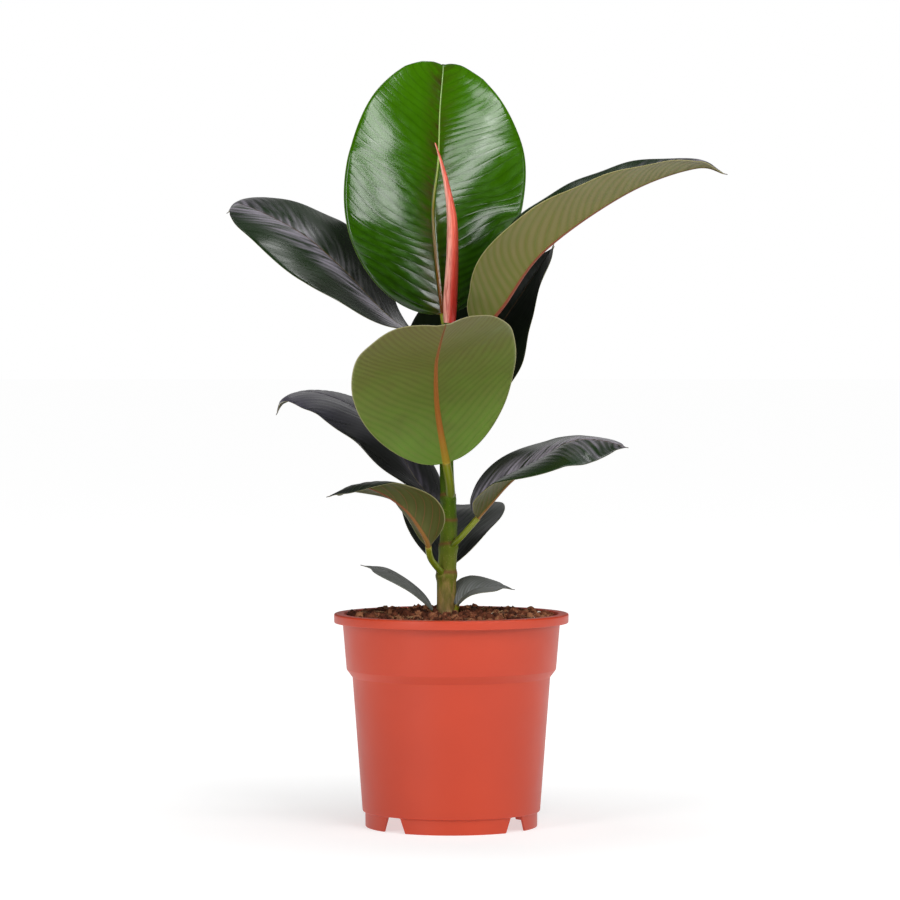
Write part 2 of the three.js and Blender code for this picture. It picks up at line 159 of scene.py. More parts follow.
# Quads between two rings, each given by the number of its first point.
def ringQuads(low, high, count):
    side = np.arange(count)
    after = (side + 1) % count
    return np.stack([low + side, low + after, high + after, high + side], 1).tolist()


# A skin over rings of equally many points, closed by a fan at both ends. The two middle
# points come after the rings.
def loftFaces(rings, count):
    faces = []
    for ring in range(rings - 1):
        faces += ringQuads(ring * count, (ring + 1) * count, count)
    pairs = [(side, (side + 1) % count) for side in range(count)]
    last = (rings - 1) * count
    faces += [[rings * count, b, a] for a, b in pairs]
    faces += [[rings * count + 1, last + a, last + b] for a, b in pairs]
    return faces


def loftPoints(rings):
    count = rings.shape[1]
    middles = [rings[0].mean(0), rings[-1].mean(0)]
    return np.concatenate([rings.reshape(-1, 3), middles]), loftFaces(len(rings), count)


# A tube over rings round a leaning axis, and the height of each of its points.
def tube(heights, lean, size, angles):
    rings = np.stack([lean[:, None] + size * np.cos(angles), size * np.sin(angles),
                      heights[:, None] + 0 * angles], 2)
    points, faces = loftPoints(rings)
    return points, faces, np.concatenate([np.repeat(heights, len(angles)), heights[[0, -1]]])


# Lean and radius from rows of height, lean and radius, averaged over the heights around.
def fromRows(rows, around):
    heights, leans, radii = zip(*rows)
    return np.interp(around, heights, leans).mean(-1), np.interp(around, heights, radii).mean(-1)


# Camera: level with the leaves, looking a little down at the plant.

camera = {
    "place": (-0.8, -2421, 288),
    "aim": (-0.8, 0, 224.3),
    "lens": 162.6,
    "sensor": 36,
    "farthest": 50,  # metres
}

cameraData = bpy.data.cameras.new("plantCamera")
cameraData.lens = camera["lens"]
cameraData.sensor_width = camera["sensor"]
cameraData.clip_end = camera["farthest"]
plantCamera = addObject("plantCamera", cameraData)
plantCamera.location = toFrame(camera["place"])
look = Vector(toFrame(camera["aim"]) - toFrame(camera["place"]))
plantCamera.rotation_euler = look.to_track_quat("-Z", "Y").to_euler()
bpy.context.scene.camera = plantCamera
print("camera placed")

# Pot: an injection-moulded grow pot. Radii are outside ones, heights above the ground.

pot = {
    "segments": 240,
    "wall": 1.2,
    "rimHeight": 127,
    "rimRadius": 70,
    "lipBottom": 121.5,
    "bandTopRadius": 65.2,
    "bandBottomRadius": 62.5,
    "bandBottom": 94.5,
    "bodyTopRadius": 59,
    "bodyTop": 89,
    "bodyBottomRadius": 53,
    "floorUnderside": 9.2,
    "floorThickness": 1.6,
    "footRadius": 51.4,
    "footWall": 1.6,
    "longestStep": 7,
    "weld": 0.004,
    "sharpFrom": 40,  # degrees between faces
}
footSlots = {"count": 4, "firstAngle": 48.5, "widthAtFloor": 10, "widthAtGround": 18}
drainHoles = {"count": 8, "radius": 4, "circleRadius": 37, "centreRadius": 5, "sides": 32}


# The corners of an outline turned to arcs, where each corner has its own radius.
def roundedOutline(corners, longest):
    points = []
    count = len(corners)
    for place in range(count):
        here = np.array(corners[place][:2], float)
        radius = corners[place][2]
        before = np.array(corners[place - 1][:2], float) - here
        after = np.array(corners[(place + 1) % count][:2], float) - here
        lengthBefore, lengthAfter = np.linalg.norm(before), np.linalg.norm(after)
        before, after = before / lengthBefore, after / lengthAfter
        half = math.acos(max(-1, min(1, float(before @ after)))) / 2
        run = min(radius / math.tan(half), 0.48 * lengthBefore, 0.48 * lengthAfter)
        steps = 5 if radius > 0.3 else 3
        for step in range(steps + 1):
            t = step / steps
            a, b = here + before * run, here + after * run
            points.append((1 - t) ** 2 * a + 2 * t * (1 - t) * here + t * t * b)
    dense = []
    for place, point in enumerate(points):
        following = points[(place + 1) % len(points)]
        parts = max(1, math.ceil(np.linalg.norm(following - point) / longest))
        dense += [mix(point, following, part / parts) for part in range(parts)]
    return np.array(dense)


def potProfile():
    p = pot
    floorTop = p["floorUnderside"] + p["floorThickness"]
    footInside = p["footRadius"] - p["footWall"]
    insideBottom = p["bodyBottomRadius"] - p["wall"]
    insideBand = p["bandBottomRadius"] - p["wall"]
    skirt = p["rimRadius"] - p["wall"]
    corners = [
        (drainHoles["centreRadius"], p["floorUnderside"], 0.4),
        (footInside, p["floorUnderside"], 0.5),
        (footInside, 0, 0.4),
        (p["footRadius"] - 0.1, 0, 0.5),
        (p["footRadius"], p["floorUnderside"] - 0.4, 0.35),
        (p["bodyBottomRadius"], p["floorUnderside"], 1.3),
        (p["bodyTopRadius"], p["bodyTop"], 0.6),
        (p["bandBottomRadius"], p["bandBottom"] - 0.8, 1.2),
        (p["bandTopRadius"], p["rimHeight"] - p["wall"], 0.4),
        (skirt, p["rimHeight"] - p["wall"], 0.4),
        (skirt, p["lipBottom"], 0.4),
        (p["rimRadius"] - 0.15, p["lipBottom"], 0.5),
        (p["rimRadius"], p["rimHeight"], 1.1),
        (p["bandTopRadius"] - p["wall"], p["rimHeight"], 0.8),
        (insideBand, p["bandBottom"], 1.0),
        (p["bodyTopRadius"] - p["wall"], p["bodyTop"], 1.2),
        (insideBottom, floorTop, 1.6),
        (drainHoles["centreRadius"], floorTop, 0.4),
    ]
    return roundedOutline(corners, p["longestStep"])


# A closed profile of radii and heights turned round the pot's axis.
def lathe(profile, segments):
    angles = roundAngles(segments)
    rings = [np.stack([r * np.cos(angles), r * np.sin(angles), np.full(segments, z)], 1)
             for r, z in profile]
    faces = []
    for ring in range(len(profile)):
        following = (ring + 1) % len(profile)
        faces += ringQuads(ring * segments, following * segments, segments)
    return np.concatenate(rings), faces


# What is cut out of the pot: wedges through its foot ring and drain holes in its floor.
def cutterMesh():
    points, faces = [], []
    half = [footSlots["widthAtGround"] / 2, footSlots["widthAtFloor"] / 2]
    heights = [-1, pot["floorUnderside"] - 0.02]
    reach = [pot["footRadius"] - 3 * pot["footWall"], pot["footRadius"] + 2 * pot["footWall"]]
    for slotNumber in range(footSlots["count"]):
        angle = math.radians(footSlots["firstAngle"]) + slotNumber * math.pi / 2
        out = np.array([math.cos(angle), math.sin(angle), 0])
        across = np.array([-math.sin(angle), math.cos(angle), 0])
        first = len(points)
        for radius in reach:
            for sideways, height in zip((-1, 1, 1, -1), (0, 0, 1, 1)):
                point = out * radius + across * sideways * half[height]
                points.append(point + np.array([0, 0, heights[height]]))
        quads = [(3, 2, 1, 0), (4, 5, 6, 7), (0, 1, 5, 4), (1, 2, 6, 5), (2, 3, 7, 6), (3, 0, 4, 7)]
        faces += [[first + corner for corner in quad] for quad in quads]
    sides = drainHoles["sides"]
    for angle in roundAngles(drainHoles["count"]):
        middle = drainHoles["circleRadius"] * np.array([math.cos(angle), math.sin(angle)])
        first = len(points)
        for height in (pot["floorUnderside"] - 2, pot["floorUnderside"] + 4):
            for turn in roundAngles(sides):
                x = middle[0] + drainHoles["radius"] * math.cos(turn)
                y = middle[1] + drainHoles["radius"] * math.sin(turn)
                points.append(np.array([x, y, height]))
        faces.append(list(range(first, first + sides))[::-1])
        faces.append(list(range(first + sides, first + 2 * sides)))
        faces += ringQuads(first, first + sides, sides)
    return np.array(points), faces


# Polypropylene, injection moulded: a satin skin with a faint orange-peel, a little paler
# where the light grazes it, and rubbed duller in cloudy patches.
def polypropylene():
    material, tree = newMaterial("mouldedPolypropylene")
    place = addNode(tree, "TexCoord").outputs["Object"]
    clouds = addNode(tree, "TexNoise", {"Scale": 0.014 / mm, "Detail": 3, "Roughness": 0.55},
                     {"Vector": place})
    tone = addNode(tree, "ValToRGB", {"stops": [(0.3, "#b83615"), (0.7, "#c13c1a")]},
                   {"Fac": clouds})
    rubbed = addNode(tree, "TexNoise", {"Scale": 0.06 / mm, "Detail": 4, "Roughness": 0.6},
                     {"Vector": place})
    roughness = addNode(tree, "MapRange", {"range": (0, 1, 0.36, 0.5)}, {"Value": rubbed})
    peel = addNode(tree, "TexNoise", {"Scale": 0.9 / mm, "Detail": 2}, {"Vector": place})
    addSurface(tree, peel, {"Strength": 0.12, "Distance": 0.1 * mm},
               {"IOR": 1.49, "Specular IOR Level": 0.5},
               {"Base Color": tone, "Roughness": roughness})
    return material


def makePot():
    points, faces = lathe(potProfile(), pot["segments"])
    shell = newPiece("growPot", points, faces, [polypropylene()], ["pot"])
    cutPoints, cutFaces = cutterMesh()
    mesh = bpy.data.meshes.new("baseCutter")
    mesh.from_pydata(toFrame(cutPoints).tolist(), [], cutFaces)
    cutter = addObject("baseCutter", mesh)
    cut = shell.modifiers.new("baseOpenings", "BOOLEAN")
    cut.operation = "DIFFERENCE"
    cut.solver = "EXACT"
    cut.object = cutter
    bpy.context.view_layer.update()
    ready = shell.evaluated_get(bpy.context.evaluated_depsgraph_get())
    finished = bpy.data.meshes.new_from_object(ready)
    shell.modifiers.clear()
    shell.data = finished
    bpy.data.objects.remove(cutter)
    form = bmesh.new()
    form.from_mesh(finished)
    bmesh.ops.remove_doubles(form, verts=form.verts, dist=pot["weld"] * mm)
    bmesh.ops.dissolve_degenerate(form, edges=form.edges, dist=pot["weld"] * mm)
    form.to_mesh(finished)
    form.free()
    finished.polygons.foreach_set("use_smooth", [True] * len(finished.polygons))
    finished.set_sharp_from_angle(angle=math.radians(pot["sharpFrom"]))


makePot()
print("pot made")

# Trunk, from its end in the soil to its top: rows of height, sideways lean and radius.
# Furrows have a depth, a number round the trunk and a slope.

trunk = {
    "sides": 64,
    "ringEvery": 0.8,
    "smoothing": 4,
    "cushion": {"above": 1, "swell": 1.0, "height": 2.4, "allRound": 0.4},
    "scar": {"above": 3.4, "slant": 0.8, "ridge": 0.3, "ridgeWidth": 0.5, "tint": 0.85,
             "tintWidth": 1.0},
    "furrows": [(0.05, 11, 9), (0.04, 23, -5)],
    "rows": [
        (84, -2.9, 1.5), (90, -2.9, 4.2), (110, -2.9, 5.9), (122, -2.9, 6.3),
        (132, -2.9, 5.8), (150, -2.9, 5.7), (168, -1.7, 5.4), (188, -1.5, 4.6),
        (207, -2.6, 4.2), (217, -2.9, 4.1), (250, -2.2, 3.8), (280, -1.4, 3.6),
        (300, -1.1, 3.5),
    ],
}

# Leaves, numbered up the trunk. The midrib leaves the trunk's axis at the height node and
# runs through its points. Each half is tilted up by fold, in degrees at the stalk and at
# the tip, and bends by curl degrees more towards its margin. Veins are veinGap apart.

leaves = [
    {
        "name": "leaf_01", "node": 108, "stalk": 24, "radius": 1.1, "width": 12,
        "widest": 1, "point": 0.5, "fold": (13, 2), "curl": -24, "veinGap": 2.4,
        "midrib": [(-10, -6, 122), (-11, -6, 128), (-16, -7, 136), (-26, -9, 145),
                   (-40, -9, 153), (-54, -6, 156)],
        "faceBase": (0.9, -0.1, 0.4), "faceTip": (-0.2, -0.2, 1), "kind": "small",
    },
    {
        "name": "leaf_02", "node": 120, "stalk": 18, "radius": 1.3, "width": 16,
        "widest": 1, "point": 0.55, "fold": (26, 6), "curl": -11, "veinGap": 2.6,
        "midrib": [(2, -4, 121), (4, -6, 133), (13, -4, 141), (28, -1, 143), (38, -2, 141)],
        "faceBase": (-0.9, -0.4, 0.2), "faceTip": (0, -0.2, 1), "kind": "small",
    },
    {
        "name": "leaf_03", "node": 148, "stalk": 33, "radius": 1.9, "width": 25,
        "widest": 1.24, "point": 0.6, "fold": (68, 7), "curl": -50, "veinGap": 9,
        "midrib": [(-12, -15, 160), (-15, -27, 172), (-27, -33, 190), (-43, -35, 201),
                   (-56, -41, 204), (-73, -48, 198)],
        "faceBase": (0, 0.3, 0.95), "faceTip": (0, 0.1, 1), "kind": "shaded",
    },
    {
        "name": "leaf_04", "node": 149, "stalk": 16, "radius": 1.8, "width": 34,
        "widest": 1, "point": 0.5, "fold": (32, 6), "curl": 9, "veinGap": 6,
        "midrib": [(-4, 12, 150), (-1, 30, 163), (1, 51, 174), (2, 73, 185), (3, 99, 188)],
        "faceBase": (-0.1, -0.7, 0.7), "faceTip": (0.1, 0, 1), "kind": "shaded",
    },
    {
        "name": "leaf_05", "node": 165, "stalk": 29, "radius": 1.8, "width": 31,
        "widest": 0.95, "point": 0.65, "fold": (54, -25), "curl": -27, "veinGap": 6,
        "midrib": [(5, -8, 172), (20, -9, 189), (35, -15, 206), (53, -27, 220),
                   (70, -33, 230), (87, -40, 231), (103, -56, 227)],
        "faceBase": (-0.4, -0.2, 0.9), "faceTip": (-0.2, -0.3, 0.9), "kind": "green",
    },
    {
        "name": "leaf_06", "node": 180, "stalk": 14, "radius": 1.9, "width": 44,
        "widest": 1, "point": 0.55, "fold": (15, 4), "curl": -27, "veinGap": 8,
        "midrib": [(-9, 13, 191), (-21, 25, 205), (-36, 36, 228), (-57, 46, 247),
                   (-76, 53, 256), (-92, 58, 258), (-103, 61, 253), (-107, 62, 244)],
        "faceBase": (0.7, -0.15, 0.73), "faceTip": (-0.5, 0.06, 0.87), "kind": "purple",
    },
    {
        "name": "leaf_07", "node": 194, "stalk": 26, "radius": 2.6, "width": 50,
        "widest": 1.1, "point": 0.65, "fold": (-9, 31), "curl": -10, "veinGap": 6,
        "midrib": [(-1, -6, 204), (-8, -25, 246), (-9, -60, 272), (-7, -100, 285),
                   (-3, -139, 299)],
        "faceBase": (-0.3, 0.9, 0.4), "faceTip": (-0.2, 0.3, 0.9), "kind": "broad",
    },
    {
        "name": "leaf_08", "node": 226, "stalk": 29, "radius": 2, "width": 50,
        "widest": 1, "point": 0.6, "fold": (24, 17), "curl": 15, "veinGap": 6.5,
        "midrib": [(2, 21, 234), (12, 41, 259), (25, 59, 290), (44, 78, 319), (64, 105, 348)],
        "faceBase": (-0.1, -0.7, 0.7), "faceTip": (-0.7, -0.3, 0.7), "kind": "dark",
    },
    {
        "name": "leaf_09", "node": 284, "stalk": 29, "radius": 2, "width": 46,
        "widest": 1, "point": 0.6, "fold": (2, 9), "curl": -15, "veinGap": 7,
        "midrib": [(-5, 5, 287), (-34, 16, 301), (-67, 30, 334), (-92, 38, 355),
                   (-127, 55, 372), (-137, 60, 367)],
        "faceBase": (0.9, -0.3, -0.3), "faceTip": (0.1, -0.4, 0.9), "kind": "green",
    },
    {
        "name": "leaf_10", "node": 279, "stalk": 26, "radius": 2.2, "width": 41,
        "widest": 0.95, "point": 0.75, "fold": (52, 28), "curl": -13, "veinGap": 6,
        "midrib": [(8, 3, 285), (29, -3, 308), (55, -10, 343), (104, -9, 377),
                   (145, -3, 392), (164, -4, 388)],
        "faceBase": (-0.6, 0, 0.8), "faceTip": (0.1, -0.1, 1), "kind": "arched",
    },
    {
        "name": "leaf_11", "node": 292, "stalk": 15, "radius": 1.8, "width": 55,
        "widest": 1.05, "point": 0.55, "fold": (-8, 24), "curl": -18, "veinGap": 5.2,
        "midrib": [(-5, 5, 305), (-11, 19, 362), (-8, 33, 397), (-7, 51, 429),
                   (-5, 66, 456), (-7, 73, 453)],
        "faceBase": (0.2, -1, 0.1), "faceTip": (0.2, -0.8, 0.5), "kind": "young",
    },
]

# What all leaves share. The slant of the veins, in degrees, and the depth of the pleats go
# by kind. Rows of wander have a size, a length, and a shift for each half and each leaf.

leafForm = {
    "halfThickness": 0.36,
    "roundMargin": 0.5,
    "ribDepth": 0.65,
    "ribWidth": 0.95,
    "ribPoints": 6,
    "ribZone": (1.6, 0.3),
    "grooveDepth": 0.3,
    "grooveWidth": (0.5, 0.25),
    "bladePoints": 26,
    "bladeSpread": 0.92,
    "stationEvery": 0.85,
    "stalkEvery": 1.3,
    "stalkStart": 1.5,
    "tipStations": 12,
    "lookAhead": {"onStalk": 0.15, "more": 4, "over": 15},
    "tipLength": 7,
    "dripLength": 17,
    "dripShare": 0.8,
    "dripTaper": 1.4,
    "tipRadius": 0.45,
    "bluntTip": 0.5,
    "footFlare": 0.3,
    "openWidth": 3,
    "closedBelow": 0.3,
    "veinSlant": {"small": 45, "dark": 45, "shaded": 50, "green": 50, "purple": 50, "arched": 26,
                  "broad": 42, "young": 24},
    "veinHook": 6,
    "wander": [(0.45, 17, 1.7, 1), (0.3, 7.3, 1, 2)],
    "pleat": {"small": 0.04, "dark": 0.08, "shaded": 0.14, "green": 0.12, "purple": 0.16,
              "arched": 0.07, "broad": 0.03, "young": 0.055},
    "pleatClear": {"rib": 4, "margin": 3},
    "pleatReach": 13,
    "pleatOuter": 0.3,
    "wave": 0.5,
    "waveLength": 37,
    "waveShift": (1.9, 1.3),
    "fullWaveWidth": 40,
    "fadeFrom": 0.85,
}


def trunkAt(height):
    reach = np.linspace(-trunk["smoothing"], trunk["smoothing"], 9)
    return fromRows(trunk["rows"], np.asarray(height, float)[..., None] + reach)


# The way in which a leaf leaves the trunk, seen from a height on the trunk's axis.
def leafDirection(leaf, height):
    x, y, _ = leaf["midrib"][0]
    return math.atan2(y, x - float(trunkAt(height)[0]))


# The midrib as a smooth line through its points, and the length run at each of its places.
def midribLine(leaf):
    heights, leans, _ = zip(*trunk["rows"])
    root = (np.interp(leaf["node"], heights, leans), 0, leaf["node"])
    points = np.array([root] + leaf["midrib"], float)
    ends = [2 * points[0] - points[1], 2 * points[-1] - points[-2]]
    padded = np.concatenate([[ends[0]], points, [ends[1]]])
    line = []
    t = np.linspace(0, 1, 80, endpoint=False)[:, None]
    for place in range(len(points) - 1):
        a, b, c, d = padded[place:place + 4]
        leave, arrive = (c - a) / 2, (d - b) / 2
        line.append((2 * t**3 - 3 * t**2 + 1) * b + (t**3 - 2 * t**2 + t) * leave
                    + (-2 * t**3 + 3 * t**2) * c + (t**3 - t**2) * arrive)
    line = np.concatenate(line + [points[-1:]])
    lengths = np.concatenate([[0], np.cumsum(np.linalg.norm(np.diff(line, axis=0), axis=1))])
    return line, lengths


def unit(vectors):
    return vectors / np.linalg.norm(vectors, axis=-1, keepdims=True)


# Half the width of a leaf as a share of its greatest, 0 at the base and at the tip.
def outlineAt(along, point):
    peak = 0.5 / (0.5 + point)
    return np.sqrt(along / peak) * ((1 - along) / (1 - peak)) ** point


# Places of the cross-sections along the midrib, and the length of the blade.
def leafStations(leaf, length):
    form = leafForm
    stalk = leaf["stalk"]
    blade = length - stalk - form["tipLength"]
    onStalk = np.linspace(form["stalkStart"], stalk, int(stalk / form["stalkEvery"]))[:-1]
    t = np.linspace(0, 1, int(blade / form["stationEvery"]))
    onBlade = stalk + blade * mix(t, (1 - np.cos(math.pi * t)) / 2, 0.6)
    onTip = length - form["tipLength"] * np.linspace(1, 0, form["tipStations"])[1:]
    return np.concatenate([onStalk, onBlade, onTip]), blade


# Rings of points round a whole leaf, with what its skins need to know at each point.
def leafSurface(leaf, number):
    form = leafForm
    line, lengths = midribLine(leaf)
    length = lengths[-1]
    distance, blade = leafStations(leaf, length)

    def onMidrib(places):
        return np.stack([np.interp(places, lengths, line[:, k]) for k in range(3)], 1)

    # Direction of the midrib, taken over a longer reach where the blade is wide.
    look = form["lookAhead"]
    wider = smoothStep(distance, leaf["stalk"], leaf["stalk"] + look["over"])
    step = look["onStalk"] + look["more"] * wider
    centre = onMidrib(distance)
    ahead = unit(onMidrib(distance + step) - onMidrib(distance - step))
    along = np.clip((distance - leaf["stalk"]) / blade, 0, 1)[:, None]
    up = mix(unit(np.array(leaf["faceBase"], float)), unit(np.array(leaf["faceTip"], float)), along)
    up = unit(up - (up * ahead).sum(1, keepdims=True) * ahead)
    across = np.cross(ahead, up)

    # Half the width, with a narrow drip tip after the oval. The core is the stalk's and
    # midrib's radius.
    distance = distance[:, None]
    width = leaf["width"] * outlineAt(along ** leaf["widest"], leaf["point"])
    left = np.clip(length - distance, 0, form["dripLength"]) / form["dripLength"]
    dripStart = (length - form["dripLength"] - leaf["stalk"]) / blade
    dripWidth = (form["dripShare"] * leaf["width"]
                 * outlineAt(dripStart ** leaf["widest"], leaf["point"]))
    width = (width ** 6 + (along > 0.5) * (dripWidth * left ** form["dripTaper"]) ** 6) ** (1 / 6)
    core = mix(leaf["radius"], form["tipRadius"], np.sqrt(along))
    core = core * (1 + form["footFlare"] * np.exp(-distance / leaf["radius"] / 2))
    core = core * mix(form["bluntTip"], 1, np.clip((length - distance) / form["tipLength"], 0, 1))
    opened = smoothStep(width, 0, form["openWidth"] * core)
    fold = np.radians(mix(leaf["fold"][0], leaf["fold"][1], along))
    curl = math.radians(leaf["curl"])

    # Points of one half from midrib to margin: a close group over the rib, then the blade.
    ribZone = np.minimum(form["ribZone"][0] * core, form["ribZone"][1] * width)
    onRib = np.linspace(0, 1, form["ribPoints"], endpoint=False)[None, :] * ribZone
    rest = np.linspace(0, 1, form["bladePoints"])[None, :] ** form["bladeSpread"]
    half = np.concatenate([onRib, ribZone + (width - ribZone) * rest], 1)
    count = half.shape[1]
    spread = np.concatenate([-half[:, :0:-1], half], 1)
    sign = np.concatenate([-np.ones(count - 1), [0], np.ones(count - 1)])[None, :]
    turn = np.concatenate([-np.arange(count - 1, 0, -1), np.arange(count)])[None, :]
    turn = turn / (count - 0.4) * math.pi / 2

    # Pleats between the side veins, and a slow wave of the margin. Both fade at the tip.
    size = np.abs(spread)
    reach = size / np.maximum(width, 1e-6)
    edge = width - size
    rib = distance - leaf["stalk"] + 0 * size
    slant = math.tan(math.radians(form["veinSlant"][leaf["kind"]]))
    wander = sum(amount * np.sin(rib / run + sign * apart + number * shift)
                 for amount, run, apart, shift in form["wander"])
    hooked = rib - size * slant - form["veinHook"] * reach**3
    vein = hooked / leaf["veinGap"] + wander + 0.5 * (sign > 0)
    clear = form["pleatClear"]
    fade = 1 - smoothStep(along, form["fadeFrom"], 1)
    shape = (opened * (1 - np.exp(-size / clear["rib"]))
             * (1 - np.exp(-edge / clear["margin"])) * fade)
    outer = form["pleatOuter"] + np.exp(-((size / form["pleatReach"]) ** 2))
    relief = form["pleat"][leaf["kind"]] * np.cos(2 * math.pi * vein) * shape * outer
    apart, shift = form["waveShift"]
    swing = np.sin(2 * math.pi * rib / form["waveLength"] + sign * apart + number * shift)
    relief = relief + (form["wave"] * swing * reach**2 * opened
                       * min(1, leaf["width"] / form["fullWaveWidth"]) * fade)

    # The upper face has a groove over the midrib, the underside a ridge below it.
    rings = []
    slope = fold + curl * reach
    rise = fold + curl * reach / 2
    grooveWidth = form["grooveWidth"][0] + form["grooveWidth"][1] * core
    for face in (1, -1):
        roundness = np.clip(1 - (size / (form["ribWidth"] * core)) ** 2, 0, 1) ** 0.6
        ridge = form["ribDepth"] * core * roundness
        groove = -form["grooveDepth"] * np.exp(-((size / grooveWidth) ** 2))
        thickness = form["halfThickness"] * np.sqrt(np.clip(edge / form["roundMargin"], 0.05, 1))
        height = face * thickness + relief + (groove if face > 0 else -ridge)
        flatAcross = sign * reach * width * np.cos(rise) - sign * height * np.sin(slope)
        flatUp = reach * width * np.sin(rise) + height * np.where(sign == 0, 1, np.cos(slope))
        sideways = mix(core * np.sin(turn), flatAcross, opened)
        upwards = mix(face * core * np.cos(turn), flatUp, opened)
        ring = (centre[:, None, :] + across[:, None, :] * sideways[..., None]
                + up[:, None, :] * upwards[..., None])
        rings.append(ring if face > 0 else ring[:, ::-1])
    points = np.concatenate(rings, 1)

    def both(field):
        field = field + 0 * size
        return np.concatenate([field, field[:, ::-1]], 1)

    values = {
        "ribMm": both(rib), "sideMm": both(spread), "edgeMm": both(edge), "share": both(along),
        "vein": both(vein), "ribShare": both(size / core), "opened": both(opened),
    }
    return points, values, opened[:, 0], 2 * count - 1


# The skins are those of the upper face, the underside, the stalk and the dry tip.
def makeLeaf(leaf, number, skins):
    rings, values, opened, perFace = leafSurface(leaf, number)
    points, faces = loftPoints(rings)
    around = rings.shape[1]
    slots = np.zeros((len(rings) - 1, around), int)
    slots[:, perFace - 1:] = 1
    closed = opened[1:] < leafForm["closedBelow"]
    slots[closed] = 2
    slots[closed & (values["share"][1:, 0] > 0.5)] = 3
    slots = np.concatenate([slots.ravel(), np.full(around, 2), np.full(around, 3)])
    fields = {
        key: np.concatenate([field.ravel(), [field[0, 0], field[-1, 0]]])
        for key, field in values.items()
    }
    name = "leafBlade" + leaf["name"][-2:]
    newPiece(name, points, faces, skins, [leaf["name"]], slots, fields)


